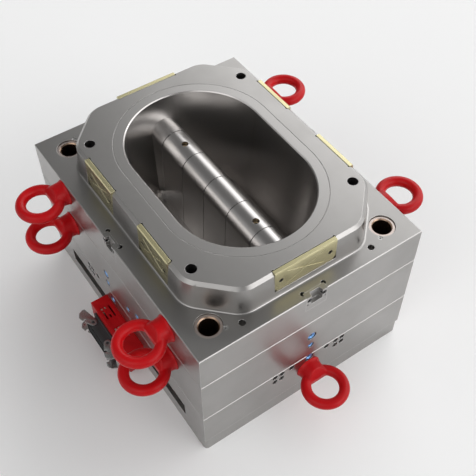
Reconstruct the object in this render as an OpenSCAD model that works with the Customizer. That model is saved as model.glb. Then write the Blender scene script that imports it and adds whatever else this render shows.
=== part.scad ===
// Cavity half of a basin injection mould with a hot runner.
// The base rests on the floor at z = 0, X runs across the short side, Y along the long side.

/* [Plates] */
// Width of every mould plate, across the short side
plate_w = 640; // [600:1:700]
// Length of every mould plate
plate_l = 804; // [780:1:880]
// Thickness of the clamp plate
clamp_t = 47; // [40:1:60]
// Thickness of the manifold plate
manifold_plate_t = 118; // [110:1:135]
// Thickness of the support plate
support_plate_t = 157; // [140:1:180]
// Thickness of the cavity plate, without its raised plateau
cavity_plate_t = 115; // [100:1:130]
// Edge chamfer of the plates
plate_chamfer = 2; // [1:0.5:4]
// Corner radius of the clamp plate
clamp_corner_r = 12; // [5:1:20]

/* [Plateau] */
// Height of the plateau above the cavity plate
plateau_h = 84; // [70:1:100]
// Width of the plateau at its foot
plateau_w = 540; // [520:1:560]
// Length of the plateau at its foot
plateau_l = 716; // [690:1:740]
// Leg of the plateau's corner chamfers
plateau_corner = 100; // [70:1:110]
// Radius that blends each corner chamfer
plateau_blend = 70; // [40:1:90]
// Draft of the plateau walls, as inset at the top
plateau_draft = 6; // [2:0.5:8]
// Bevel round the plateau's top edge
plateau_bevel = 8; // [4:0.5:12]
// Fillet round the plateau's foot
plateau_fillet = 5; // [2:0.5:8]

/* [Cavity] */
// Radius of the cavity ends at the rim
rim_r = 181; // [160:1:185]
// Distance between the centres of the two cavity ends
rim_straight = 200; // [160:1:240]
// Steel left under the cavity floor
floor_t = 50; // [40:1:70]
// Draft angle of the cavity wall
wall_draft = 6; // [3:0.5:7]
// Fillet between wall and floor
floor_fillet = 34; // [15:1:45]
// Land round the rim, from the cavity edge to the insert's seam
insert_land = 28; // [22:1:32]
// Clearance between the insert and its plates, and round each fitted block
fit_gap = 0.1; // [0.05:0.05:0.3]
// Width of the fine groove along the insert's seam
seam_w = 1; // [0.5:0.1:2]

/* [Ridge] */
// Radius of the ridge's round top
ridge_r = 41; // [36:1:46]
// Depth of the ridge crest below the plateau top
ridge_drop = 66; // [50:1:90]
// Draft angle of the ridge sides
ridge_draft = 2.3; // [1:0.1:3]
// Distance of the ridge's end face from the centre
ridge_reach = 276; // [265:1:280]
// Pitch of the joints between the ridge segments
segment_pitch = 101; // [95:1:104]
// Shift of the segment joints along the ridge
segment_shift = 12; // [-20:1:20]
// Depth of the relief at each joint
joint_depth = 3; // [1:0.5:5]
// Width of the relief at each joint
joint_w = 1.8; // [1:0.1:3]
// Distance of each gate from the centre
gate_y = 160; // [150:1:165]
// Diameter of the gate holes in the crest
gate_d = 18; // [12:1:22]

/* [Hot runner] */
// Bore of the locating ring for the machine nozzle
ring_bore = 40; // [36:1:50]
// Outer diameter of the locating ring
ring_od = 125; // [100:1:160]
// Thickness of the locating ring
ring_t = 14; // [10:1:20]
// Width of the hot runner manifold
runner_w = 90; // [80:1:110]
// Thickness of the hot runner manifold
runner_t = 46; // [40:1:52]
// Air gap under the manifold, filled by its support pads
runner_gap = 15; // [12:1:18]
// Diameter of the support pads
pad_d = 40; // [30:1:50]
// Diameter of the nozzle bodies
nozzle_d = 38; // [32:1:44]
// Diameter of the nozzle heads
nozzle_head_d = 58; // [50:1:64]
// Height of the nozzle heads
nozzle_head_h = 25; // [20:1:30]
// Air gap round the nozzles
nozzle_gap = 3; // [2:0.5:5]

/* [Side slot] */
// Height of the cable slot in the manifold plate
slot_h = 48; // [42:1:52]
// Depth of the cable slot
slot_depth = 22; // [15:1:26]
// Distance of the slot's front end from the centre
slot_front = 310; // [280:1:320]
// Distance of the slot's rear end from the centre
slot_rear = 302; // [280:1:320]

/* [Guides] */
// Distance of the guide bushes from the plates' long sides
guide_inset_x = 68.6; // [64:0.2:72]
// Distance of the guide bushes from the plates' short sides
guide_inset_y = 67.9; // [52:0.2:72]
// Bore of the guide bushes
guide_bore = 46; // [40:1:50]
// Outer diameter of the guide bushes
bush_od = 58; // [54:1:62]
// Outer diameter of the bush flange
bush_flange_d = 64; // [62:1:70]
// Length of the guide bushes
bush_len = 80; // [60:1:95]
// Depth of the bush's face below the plate
bush_sink = 3; // [1:0.5:6]

/* [Wear plates] */
// Length of the wear plates on the long sides
side_wear_l = 132; // [110:1:150]
// Distance of their middle from the centre
side_wear_y = 127; // [115:1:140]
// Height of the wear plates on the long sides
side_wear_h = 81; // [60:1:81]
// Length of the wear plates on the short sides
end_wear_l = 175; // [140:1:200]
// Height of the wear plates on the short sides
end_wear_h = 65; // [50:1:80]
// Thickness of the wear plates
wear_t = 13.5; // [12:0.5:22]
// Bevel on the outer top edge of the wear plates
wear_bevel = 3.5; // [2:0.5:9]
// Width of the crossed oil grooves
oil_groove_w = 3; // [2:0.5:5]

/* [Side locks] */
// Width of the side lock blocks
lock_w = 60; // [50:1:75]
// Depth of the side lock blocks
lock_t = 17; // [14:1:22]
// Height of the side lock blocks
lock_h = 50; // [40:1:60]
// Width of the lock's groove
lock_groove_w = 33; // [20:1:34]

/* [Eyebolts] */
// Radius of the ring, to the middle of its bar
ring_r = 49; // [45:1:52]
// Radius of the ring's bar
ring_bar_r = 14; // [11:1:15]
// Distance of the ring's middle from the plate
ring_reach = 72; // [66:1:80]
// Diameter of the eyebolt's collar
collar_d = 71; // [60:1:80]
// Diameter of the eyebolt's shank
eyebolt_shank_d = 36; // [30:1:40]
// Length of the eyebolt's shank
eyebolt_shank_l = 54; // [40:1:60]
// From the guide bushes to the eyebolts of a side, along the mould
lift_from_guide = 84.1; // [75:0.1:110]
// Shift of the left eyebolts along the plate
lift_shift_left = -16; // [-25:1:25]
// Depth of the upper left eyebolts below the cavity plate's top
lift_drop_left = 36; // [34:1:60]
// Depth of the upper right eyebolts below the cavity plate's top
lift_drop_right = 55; // [34:1:60]
// Depth of the lower left eyebolts below the support plate's top
lower_lift_drop = 46; // [40:1:80]
// Depth of the front eyebolt below the manifold plate's top
front_lift_drop = 59; // [50:1:65]

/* [Water ports] */
// Outer diameter of the large water fittings
fitting_d = 22; // [18:1:26]
// Outer diameter of the small fitting
small_fitting_d = 15; // [12:1:18]
// Bore of the water fittings
fitting_bore = 9; // [6:1:10]
// Diameter of the closed cross drillings
plug_d = 16; // [10:1:16]

/* [Terminal box] */
// Length of the terminal box along the plate
box_l = 200; // [190:1:240]
// Depth of the terminal box
box_d = 50; // [40:1:60]
// Height of the terminal box
box_h = 92; // [88:1:100]
// Height of the box's top above the cable slot
box_rise = 14; // [12:1:18]
// Distance of the box's middle from the centre
box_y = -7; // [-20:1:10]
// Wall of the terminal box
box_wall = 4; // [3:0.5:6]

/* [Connector] */
// Length of the connector housing
housing_l = 112; // [106:1:120]
// Width of the connector housing
housing_w = 46; // [42:1:50]
// Height of the housing, from the box to its mouth
housing_h = 32; // [28:1:36]
// Depth of the housing's middle below the box's top
housing_drop = 44; // [42:1:48]
// Distance of the housing's middle from the box's middle
housing_shift = 11; // [0:1:18]
// Wall of the connector housing
housing_wall = 4; // [3:0.5:6]
// Diameter of the pegs that the levers turn on
peg_d = 8; // [6:1:10]
// Running clearance round the pegs, on the radius
peg_gap = 0.08; // [0.05:0.01:0.1]
// Thickness of the lever arms
arm_t = 3; // [2.5:0.5:4]
// Length of the lever arms, from their peg
arm_l = 50; // [44:1:54]
// Angle of the open levers, from the closed position
lever_open = 65; // [0:1:75]

/* [Hidden] */
$fn = 64;
eps = 0.01;
// Flats lie this far inside the rounds that they run into, so the two cross cleanly
round_lap = 0.05;
// Levels of the plates, from the floor up
z_manifold = clamp_t;
z_support = z_manifold + manifold_plate_t;
z_cavity = z_support + support_plate_t;
z_plate = z_cavity + cavity_plate_t;
z_top = z_plate + plateau_h;
half_w = plate_w / 2;
half_l = plate_l / 2;

// Cavity and insert
insert_r = rim_r + insert_land;
z_floor = z_support + floor_t;
floor_r = rim_r - (z_top - z_floor) * tan(wall_draft);
rim_bevel = 2.5;
insert_bolt_d = 16;
insert_bolt_l = 60;
insert_bolt_sink = 30;
insert_bolt_inset = 45;
insert_bolt_shift = 10;

// Ridge
z_crest = z_top - ridge_drop;
z_ridge_axis = z_crest - ridge_r;
segment_joints = [for (k = [-2 : 2]) segment_shift + k * segment_pitch];
segment_ends = concat([-ridge_reach], segment_joints, [ridge_reach]);
segment_count = len(segment_ends) - 1;
nozzle_bore_d = nozzle_d + 2 * nozzle_gap;
gate_land = 14;

// Hot runner levels
z_runner = clamp_t + runner_gap;
z_runner_top = z_runner + runner_t;
pocket_clear = 10;
z_pocket = z_runner_top + pocket_clear;
z_nozzle_seat = z_runner_top + nozzle_head_h;
runner_l = 2 * gate_y + runner_w;
pocket_w = runner_w + 4 * pocket_clear;
pocket_l = runner_l + 4 * pocket_clear;
inlet_d = 50;
melt_d = 12;
ring_bolt_circle = (ring_od + ring_bore) / 2;
ring_bolt_d = 8;

// Plate screws and dowels
frame_bolt_d = 20;
frame_bolt_x = half_w - 40;
frame_bolt_y = half_l - 42;
frame_bolt_mid_y = frame_bolt_y / 3;
frame_bolt_grip = 36;
platen_bolt_d = 21;
platen_bolt_x = 210;
platen_bolt_y = 350;
platen_bolt_depth = 38;
plateau_bolt_x = 229.4;
plateau_bolt_y = 235.6;
plateau_hole_d = 27;
plateau_bolt_d = 16;
plateau_bolt_seat = 23;
plateau_bolt_grip = 42;
dowel_d = 24;
dowel_l = 60;
dowel_y = 190;
jack_hole_d = 17;
jack_hole_x = 186;
jack_hole_y = half_l - 32;
jack_hole_depth = 26;

// Guide bushes and their keeper screws
guide_x = half_w - guide_inset_x;
guide_y = half_l - guide_inset_y;
lift_half = guide_y - lift_from_guide;
keeper_d = 11;
keeper_l = 13;
keeper_sink = 1;
keeper_gap = 1.5;
keeper_reach = bush_flange_d / 2 + keeper_gap + keeper_d / 2;
keeper_x = keeper_reach * cos(43);
keeper_y = keeper_reach * sin(43);
guide_relief_d = bush_od + 2;
guide_relief_depth = 90;

// Wear plate places
wear_proud = -3.5;
wear_relief_d = 8;
wear_bolt_d = 8;
side_wear_bolt_pitch = side_wear_l - 36;
end_wear_bolt_pitch = end_wear_l - 36;
side_wear_bolt_drop = 48;
end_wear_bolt_drop = 34;
wear_bolt_sink = 9;
wear_bolt_land = 10;
wear_wall = min(plateau_w / 2, plateau_l / 2 - rim_straight / 2) - insert_r;
wear_bolt_l = wear_wall + wear_proud - wear_bolt_sink - wear_bolt_land;
wear_chamfer = 2;
wear_corner = 8;
oil_groove_depth = 1;
oil_groove_turn = 24;

// Side lock details
lock_relief_d = 12;
lock_bolt_d = 8;
lock_bolt_head_d = 14;
lock_bolt_pitch = lock_w - 18;
lock_bolt_drop = 13;
lock_groove_depth = 12;
lock_groove_h = 30;
lock_dowel_drop = 28;
lock_dowel_d = 5;

// Port places: [along the side, height over the support plate's bottom, size, depth]
front_ports = [[0, 88, 1, 30], [0, 47, 0, 36], [0, -12, 1, 33]];
left_ports = [[62, 72, 1, 30], [62, 34, 0, 36], [50, -30, 1, 33], [-46, 40, 0, 42],
    [-98, 70, 0, 48]];
front_plug_drop = 11;
left_plug_drop = 18;
plug_pitch = 21;
front_plugs = [56, 86, 107];
left_plugs = [84, 114, 135];
fitting_sink = 1.5;
fitting_depth = 26;
plug_depth = 22;
plug_sink = 3;

// Terminal box and connector places
cable_window_l = 80;
z_box_top = z_manifold + slot_h + box_rise;
z_box = z_box_top - box_h;
box_face = half_w + box_d;
housing_y = box_y + housing_shift;
z_housing = z_box_top - housing_drop;
box_bolt_d = 5;
box_bolt_inset = box_wall + 4.5;
box_lug = 2 * box_bolt_inset - box_wall;
box_lug_t = 6;
flange_t = 5;
flange_extra = 3;
flange_l = housing_l + 20;
peg_out = 21;
peg_y = housing_l / 2 - 16;
arm_gap = 0.4;
arm_w = 26;
grip_w = 13;
grip_t = 3;
insert_inset = 10;
contact_block_w = 25;
contact_block_l = 84;
contact_rise = 4;
seal_t = 2.5;
vent_pitch = 77;
vent_shift = 1.5;

steel = [0.62, 0.61, 0.60];
bright_steel = [0.74, 0.73, 0.72];
dark_steel = [0.30, 0.30, 0.31];
red_paint = [0.74, 0.07, 0.08];

// Flat shapes

// Rectangle with true round corners
module rounded_rect(w, l, r) {
    square([w - 2 * r, l], center = true);
    square([w, l - 2 * r], center = true);
    for (sx = [-1, 1], sy = [-1, 1])
        translate([sx * (w / 2 - r), sy * (l / 2 - r)]) circle(r);
}

// Two half circles joined by a straight stretch along Y
module stadium(r, straight) {
    square([2 * r, straight], center = true);
    for (s = [-1, 1]) translate([0, s * straight / 2]) circle(r);
}

// Placing

// Puts a child at all four mirrored corners
module four(x, y) {
    for (sx = [-1, 1], sy = [-1, 1]) translate([sx * x, sy * y, 0]) children();
}

// Stands a child on a side face: turn 0 is left, 90 front, 180 right, 270 rear.
// The child's +Z then points outwards and its +X points up.
module on_side(turn, reach, along, height) {
    rotate([0, 0, turn]) translate([-reach, along, height]) rotate([0, -90, 0]) children();
}

// Fasteners

// Socket head screw, head up, its seat at z = 0
module cap_screw(d, l) {
    translate([0, 0, -l]) cylinder(d = d, h = l);
    difference() {
        cylinder(d = 1.5 * d, h = d);
        translate([0, 0, 0.5 * d]) cylinder(d = 0.9 * d, h = d, $fn = 6);
    }
}

// Hole for a cap screw whose seat is at z = 0, open upwards over the given height
module screw_hole(d, l, open) {
    translate([0, 0, -l]) cylinder(d = d + 2 * fit_gap, h = l + eps);
    cylinder(d = 1.5 * d + 1, h = open);
}

// Plates

// Plate with chamfered long edges on its top and bottom faces
module chamfered_plate(w, l, t, c) {
    intersection() {
        translate([-w / 2, -l / 2, 0]) cube([w, l, t]);
        rotate([90, 0, 0]) linear_extrude(height = l + 2, center = true)
            polygon([[-w / 2 + c, 0], [w / 2 - c, 0], [w / 2, c], [w / 2, t - c],
                [w / 2 - c, t], [-w / 2 + c, t], [-w / 2, t - c], [-w / 2, c]]);
        rotate([90, 0, 90]) linear_extrude(height = w + 2, center = true)
            polygon([[-l / 2 + c, 0], [l / 2 - c, 0], [l / 2, c], [l / 2, t - c],
                [l / 2 - c, t], [-l / 2 + c, t], [-l / 2, t - c], [-l / 2, c]]);
    }
}

// Places of the long screws that clamp the three lower plates
module frame_bolt_places() {
    four(frame_bolt_x, frame_bolt_y) children();
    four(frame_bolt_x, frame_bolt_mid_y) children();
}

module clamp_plate() {
    color(steel)
    difference() {
        linear_extrude(height = clamp_t) rounded_rect(plate_w, plate_l, clamp_corner_r);
        translate([0, 0, -eps]) cylinder(d = ring_od + 2 * fit_gap, h = ring_t + eps);
        translate([0, 0, -eps]) cylinder(d = inlet_d + 6, h = clamp_t + 1);
        for (k = [0 : 3]) rotate(45 + 90 * k) translate([ring_bolt_circle / 2, 0, 0])
            cylinder(d = ring_bolt_d + 2 * fit_gap, h = ring_t + 18);
        frame_bolt_places() translate([0, 0, frame_bolt_d + 2]) rotate([180, 0, 0])
            screw_hole(frame_bolt_d, clamp_t, clamp_t);
        four(platen_bolt_x, platen_bolt_y)
            translate([0, 0, -eps]) cylinder(d = platen_bolt_d, h = platen_bolt_depth);
        box_bolt_holes();
    }
}

module clamp_screws() {
    color(dark_steel)
    frame_bolt_places() translate([0, 0, frame_bolt_d + 2]) rotate([180, 0, 0])
        cap_screw(frame_bolt_d, z_support + frame_bolt_grip - frame_bolt_d - 2);
}

// Cable slot on the left, milled up from the plate's underside
module cable_slot() {
    translate([-half_w - 1, -slot_front, z_manifold - 1])
        cube([slot_depth + 1, slot_front + slot_rear, slot_h + 1]);
}

module manifold_plate() {
    color(steel)
    difference() {
        translate([0, 0, z_manifold - plate_chamfer])
            chamfered_plate(plate_w, plate_l, manifold_plate_t + plate_chamfer, plate_chamfer);
        translate([-plate_w, -plate_l, z_manifold - plate_chamfer - 1])
            cube([2 * plate_w, 2 * plate_l, plate_chamfer + 1]);
        cable_slot();
        translate([0, 0, z_manifold - 1])
            linear_extrude(height = z_pocket - z_manifold + 1)
            rounded_rect(pocket_w, pocket_l, pocket_w / 4);
        translate([-half_w - 1, box_y - cable_window_l / 2, z_manifold - 1])
            cube([half_w, cable_window_l, slot_h + 1]);
        for (s = [-1, 1]) translate([0, s * gate_y, z_pocket - 1]) {
            cylinder(d = nozzle_head_d + 2 * fit_gap, h = z_nozzle_seat - z_pocket + 1);
            cylinder(d = nozzle_bore_d, h = manifold_plate_t);
        }
        frame_bolt_places() translate([0, 0, z_manifold - 1])
            cylinder(d = frame_bolt_d + 2 * fit_gap, h = manifold_plate_t + 2);
        insert_bolt_places() translate([0, 0, z_support - insert_bolt_sink]) rotate([180, 0, 0])
            screw_hole(insert_bolt_d, insert_bolt_sink + 1, manifold_plate_t);
        lower_dowels(fit_gap);
        on_side(90, half_l, 0, z_support - front_lift_drop) shank_hole();
        side_port_holes();
        plug_places() translate([0, 0, -plug_depth]) cylinder(d = plug_d + 2 * fit_gap, h = 60);
        box_bolt_holes();
    }
}

// Screws that hold the cavity insert from below
module insert_bolt_places() {
    four(insert_r - insert_bolt_inset, rim_straight / 2 + insert_bolt_shift) children();
}

module insert_screws() {
    color(dark_steel)
    insert_bolt_places() translate([0, 0, z_support - insert_bolt_sink]) rotate([180, 0, 0])
        cap_screw(insert_bolt_d, insert_bolt_l);
}

module support_plate() {
    color(steel)
    difference() {
        translate([0, 0, z_support])
            chamfered_plate(plate_w, plate_l, support_plate_t, plate_chamfer);
        translate([0, 0, z_support - 1]) linear_extrude(height = support_plate_t + 2)
            stadium(insert_r + fit_gap, rim_straight);
        four(guide_x, guide_y) translate([0, 0, z_cavity - guide_relief_depth])
            cylinder(d = guide_relief_d, h = guide_relief_depth + 1);
        frame_bolt_places() translate([0, 0, z_support - 1])
            cylinder(d = frame_bolt_d + 2 * fit_gap, h = frame_bolt_grip + 1 + fit_gap);
        four(plateau_bolt_x, plateau_bolt_y)
            translate([0, 0, z_cavity - plateau_bolt_grip - 3])
            cylinder(d = plateau_bolt_d + 2 * fit_gap, h = plateau_bolt_grip + 4);
        lower_dowels(fit_gap);
        upper_dowels(fit_gap);
        for (s = [-1, 1])
            on_side(0, half_w, s * lift_half + lift_shift_left, z_cavity - lower_lift_drop)
                shank_hole();
        side_port_holes();
    }
}

module side_port_holes() {
    for (p = front_ports) on_side(90, half_l, p[0], z_support + p[1]) port_hole(p[2], p[3]);
    for (p = left_ports) on_side(0, half_w, p[0], z_support + p[1]) port_hole(p[2], p[3]);
}

// Counterbore that a water fitting sits in, and the start of its channel
module port_hole(large, depth) {
    d = large == 1 ? fitting_d : small_fitting_d;
    translate([0, 0, -depth]) cylinder(d = d - 3, h = depth);
    translate([0, 0, -8]) cylinder(d = d + 5, h = 20);
}

// Quick fitting, its face just below the plate's side
module fitting(large) {
    d = large == 1 ? fitting_d : small_fitting_d;
    difference() {
        union() {
            translate([0, 0, -fitting_depth]) cylinder(d = d - 3 - 2 * fit_gap, h = fitting_depth - 2);
            translate([0, 0, -8]) cylinder(d = d, h = 8 - fitting_sink);
        }
        translate([0, 0, -fitting_depth - 1]) cylinder(d = fitting_bore, h = fitting_depth + 5);
        translate([0, 0, -fitting_sink - 3]) cylinder(d1 = fitting_bore, d2 = fitting_bore + 6.1, h = 3.05);
    }
}

module front_water_fittings() {
    color([0.35, 0.55, 0.85])
    for (p = front_ports) on_side(90, half_l, p[0], z_support + p[1]) fitting(p[2]);
}

module left_water_fittings() {
    color([0.35, 0.55, 0.85])
    for (p = left_ports) on_side(0, half_w, p[0], z_support + p[1]) fitting(p[2]);
}

// Closed cross drillings of the manifold plate, front and left
module plug_places() {
    for (s = [-1, 1], k = [0 : 2])
        on_side(90, half_l, s * front_plugs[k], z_support - front_plug_drop) children();
    for (s = [-1, 1], k = [1 : 2])
        on_side(90, half_l, s * front_plugs[k], z_support - front_plug_drop - plug_pitch)
        children();
    for (k = [0 : 2]) on_side(0, half_w, left_ports[2][0] + left_plugs[k], z_support - left_plug_drop)
        children();
    for (k = [1 : 2])
        on_side(0, half_w, left_ports[2][0] + left_plugs[k], z_support - left_plug_drop - plug_pitch)
        children();
}

module port_plugs() {
    color(dark_steel)
    plug_places() difference() {
        translate([0, 0, -plug_depth]) cylinder(d = plug_d, h = plug_depth - plug_sink);
        translate([0, 0, -plug_depth / 2]) cylinder(d = plug_d / 2, h = plug_depth, $fn = 6);
    }
}

// The eight centres of the plateau's blended corners, counter-clockwise
function plateau_centres() = let (
        w = plateau_w / 2 - plateau_blend,
        l = plateau_l / 2 - plateau_blend,
        c = plateau_corner - plateau_blend * (2 - sqrt(2))
    ) [[w - c, -l], [w, c - l], [w, l - c], [w - c, l], [c - w, l], [-w, l - c], [-w, c - l],
        [c - w, -l]];

// Section of the plateau's wall, outwards from its corner centres: foot fillet, draft, bevel.
// It runs on above the top, where the plateau is cut off flat.
function plateau_section(inner, outer) = let (r = plateau_fillet) concat(
        [[inner, z_top + 1], [inner, z_plate - 1], [outer + 2 * r, z_plate - 1]],
        [for (t = [30 : 30 : 90]) [outer + r - r * sin(t), z_plate + r - r * cos(t)]],
        [[outer - plateau_draft, z_top - plateau_bevel],
            [outer - plateau_draft - plateau_bevel - 1, z_top + 1]]
    );

// Plateau: its wall turned round each corner centre and drawn along each side
module plateau() {
    centres = plateau_centres();
    count = len(centres);
    difference() {
        union() {
            translate([0, 0, z_plate - 1]) linear_extrude(height = plateau_h + 2)
                polygon(centres);
            for (k = [0 : count - 1]) let (
                    a = centres[k],
                    b = centres[(k + 1) % count],
                    way = b - a
                ) translate(a) {
                rotate_extrude() polygon(plateau_section(0, plateau_blend));
                rotate([90, 0, atan2(way[1], way[0]) + 90]) linear_extrude(height = norm(way))
                    mirror([1, 0]) polygon(plateau_section(-5, plateau_blend - round_lap));
            }
        }
        translate([-plate_w, -plate_l, z_top]) cube([2 * plate_w, 2 * plate_l, 10]);
    }
}

module cavity_plate() {
    color(steel)
    difference() {
        union() {
            translate([0, 0, z_cavity])
                chamfered_plate(plate_w, plate_l, cavity_plate_t, plate_chamfer);
            plateau();
        }
        translate([0, 0, z_cavity - 1])
            linear_extrude(height = cavity_plate_t + plateau_h + 2)
            stadium(insert_r + fit_gap, rim_straight);
        translate([0, 0, z_top - 2 * seam_w]) linear_extrude(height = 3 * seam_w)
            stadium(insert_r + seam_w, rim_straight);
        four(guide_x, guide_y) {
            translate([0, 0, z_cavity - 1])
                cylinder(d = bush_od + 2 * fit_gap, h = cavity_plate_t + 2);
            translate([0, 0, z_plate - bush_sink - 8])
                cylinder(d = bush_flange_d + 2, h = 20);
        }
        keeper_places() translate([0, 0, -keeper_l - keeper_sink])
            cylinder(d = keeper_d + 2 * fit_gap, h = keeper_l + 7);
        four(plateau_bolt_x, plateau_bolt_y) translate([0, 0, z_cavity + plateau_bolt_seat]) {
            translate([0, 0, -plateau_bolt_seat - 1])
                cylinder(d = plateau_bolt_d + 2 * fit_gap, h = plateau_bolt_seat + 2);
            cylinder(d = plateau_hole_d, h = cavity_plate_t + plateau_h);
        }
        four(jack_hole_x, jack_hole_y) translate([0, 0, z_plate - jack_hole_depth])
            cylinder(d = jack_hole_d, h = jack_hole_depth + plateau_fillet + 1);
        upper_dowels(fit_gap);
        for (s = [-1, 1]) {
            on_side(0, half_w, s * lift_half + lift_shift_left, z_plate - lift_drop_left)
                shank_hole();
            on_side(180, half_w, s * lift_half, z_plate - lift_drop_right) shank_hole();
        }
        for (s = [-1, 1], turn = [0, 180])
            wear_seat(turn, plateau_w / 2, s * side_wear_y, side_wear_l, side_wear_h);
        for (turn = [90, 270])
            wear_seat(turn, plateau_l / 2, 0, end_wear_l, end_wear_h);
        wear_bolt_places() translate([0, 0, -wear_bolt_l - 2])
            cylinder(d = wear_bolt_d + 2 * fit_gap, h = wear_bolt_l + 3);
        for (turn = [0, 90, 180, 270]) lock_seat(turn);
    }
}

module cavity_plate_screws() {
    color(dark_steel)
    four(plateau_bolt_x, plateau_bolt_y) translate([0, 0, z_cavity + plateau_bolt_seat])
        cap_screw(plateau_bolt_d, plateau_bolt_seat + plateau_bolt_grip);
}

// Hollow dowels that line the plates up, round their joints
module lower_dowels(gap) {
    four(frame_bolt_x, dowel_y) translate([0, 0, z_support - dowel_l / 2])
        cylinder(d = dowel_d + 2 * gap, h = dowel_l + gap);
}

module upper_dowels(gap) {
    four(frame_bolt_x, dowel_y - 40) translate([0, 0, z_cavity - dowel_l / 2])
        cylinder(d = dowel_d + 2 * gap, h = dowel_l + gap);
}

module plate_dowels() {
    color(bright_steel)
    difference() {
        union() {
            lower_dowels(0);
            upper_dowels(0);
        }
        translate([0, 0, z_support - dowel_l]) four(frame_bolt_x, dowel_y)
            cylinder(d = dowel_d / 2, h = 2 * dowel_l);
        translate([0, 0, z_cavity - dowel_l]) four(frame_bolt_x, dowel_y - 40)
            cylinder(d = dowel_d / 2, h = 2 * dowel_l);
    }
}

// Cavity

// Half section of the cavity: draughted wall, filleted floor
function cavity_section() = let (
        r = floor_fillet,
        a = wall_draft,
        cx = floor_r + r * tan(a) - r / cos(a),
        steps = 12
    ) concat(
        [[0, z_floor]],
        [for (k = [0 : steps]) let (t = -90 + k * (90 - a) / steps)
            [cx + r * cos(t), z_floor + r + r * sin(t)]],
        [[rim_r - rim_bevel * tan(a), z_top - rim_bevel], [rim_r + rim_bevel, z_top + eps],
            [0, z_top + eps]]
    );

module cavity_space() {
    section = cavity_section();
    for (s = [-1, 1]) translate([0, s * rim_straight / 2, 0])
        rotate_extrude($fn = 128) polygon(section);
    rotate([90, 0, 0]) linear_extrude(height = rim_straight, center = true)
        union() {
            polygon(section);
            mirror([1, 0]) polygon(section);
        }
}

// Section of the ridge: round top on draughted sides, straight below the floor
module ridge_section(gap) {
    r = ridge_r + gap;
    flat = r - round_lap;
    foot = foot_w(gap);
    shoulder = flat * cos(ridge_draft);
    z_shoulder = z_ridge_axis + flat * sin(ridge_draft);
    translate([0, z_ridge_axis]) circle(r);
    polygon([[-foot, z_support], [foot, z_support], [foot, z_floor], [shoulder, z_shoulder],
        [-shoulder, z_shoulder], [-foot, z_floor]]);
}

// Ridge body between two places along Y
module ridge_length(y0, y1, gap) {
    translate([0, y1, 0]) rotate([90, 0, 0]) linear_extrude(height = y1 - y0)
        ridge_section(gap);
}

module cavity_insert() {
    color(bright_steel)
    difference() {
        translate([0, 0, z_support]) linear_extrude(height = z_top - z_support)
            stadium(insert_r, rim_straight);
        cavity_space();
        difference() {
            ridge_length(-ridge_reach - fit_gap, ridge_reach + fit_gap, fit_gap);
            translate([-half_w, -half_l, z_crest + 1]) cube([plate_w, plate_l, 10]);
        }
        translate([-foot_w(fit_gap), -ridge_reach - fit_gap, z_support - 1])
            cube([2 * foot_w(fit_gap), 2 * (ridge_reach + fit_gap), 2]);
        insert_bolt_places() translate([0, 0, z_support - 1])
            cylinder(d = insert_bolt_d + 2 * fit_gap, h = insert_bolt_l - insert_bolt_sink + 4);
    }
}

// Half width of the ridge at the cavity floor
function foot_w(gap) = (ridge_r + gap - round_lap) / cos(ridge_draft)
    + (z_ridge_axis - z_floor) * tan(ridge_draft);

// One ridge segment, relieved at its joints, with its nozzle's bore
module ridge_segment(k) {
    y0 = segment_ends[k];
    y1 = segment_ends[k + 1];
    color(bright_steel)
    difference() {
        ridge_length(y0, y1, 0);
        for (y = [y0, y1]) if (abs(y) < ridge_reach - 1) joint_cut(y);
        for (s = [-1, 1]) translate([0, s * gate_y, 0]) {
            translate([0, 0, z_support - 1])
                cylinder(d = nozzle_bore_d, h = z_crest - gate_land - z_support + 1);
            translate([0, 0, z_support]) cylinder(d = gate_d, h = z_crest);
        }
    }
}

// Relief over the ridge at a joint, down both sides to the floor
module joint_cut(y) {
    difference() {
        translate([-half_w, y - joint_w / 2, z_floor]) cube([plate_w, joint_w, z_top - z_floor]);
        ridge_length(y - joint_w, y + joint_w, -joint_depth);
    }
}

module ridge_segment_1() { ridge_segment(0); }
module ridge_segment_2() { ridge_segment(1); }
module ridge_segment_3() { ridge_segment(2); }
module ridge_segment_4() { ridge_segment(3); }
module ridge_segment_5() { ridge_segment(4); }
module ridge_segment_6() { ridge_segment(5); }

// Hot runner

module locating_ring() {
    color(bright_steel)
    difference() {
        cylinder(d = ring_od, h = ring_t);
        translate([0, 0, -1]) cylinder(d = ring_bore, h = ring_t + 2);
        for (k = [0 : 3]) rotate(45 + 90 * k) translate([ring_bolt_circle / 2, 0, ring_bolt_d + 1])
            rotate([180, 0, 0]) screw_hole(ring_bolt_d, ring_t, ring_t);
    }
}

module locating_ring_screws() {
    color(dark_steel)
    for (k = [0 : 3]) rotate(45 + 90 * k) translate([ring_bolt_circle / 2, 0, ring_bolt_d + 1])
        rotate([180, 0, 0]) cap_screw(ring_bolt_d, ring_t + 6);
}

module inlet_bush() {
    color(bright_steel)
    difference() {
        translate([0, 0, ring_t]) cylinder(d = inlet_d, h = z_runner - ring_t);
        translate([0, 0, ring_t - 1]) cylinder(d = melt_d, h = z_runner);
        translate([0, 0, ring_t - 8]) sphere(r = 20);
    }
}

module hot_runner_manifold() {
    color(dark_steel)
    difference() {
        translate([0, 0, z_runner]) linear_extrude(height = runner_t)
            rounded_rect(runner_w, runner_l, runner_w / 4);
        translate([0, 0, z_runner - 1]) cylinder(d = melt_d, h = runner_t / 2 + 1);
        translate([0, gate_y, z_runner + runner_t / 2]) rotate([90, 0, 0])
            cylinder(d = melt_d, h = 2 * gate_y);
        for (s = [-1, 1]) translate([0, s * gate_y, z_runner + runner_t / 2])
            cylinder(d = melt_d, h = runner_t);
        for (s = [-1, 1]) translate([s * runner_w / 3, 0, z_runner_top])
            rotate([90, 0, 0]) cylinder(d = 9, h = runner_l - runner_w / 2, center = true);
    }
}

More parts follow.
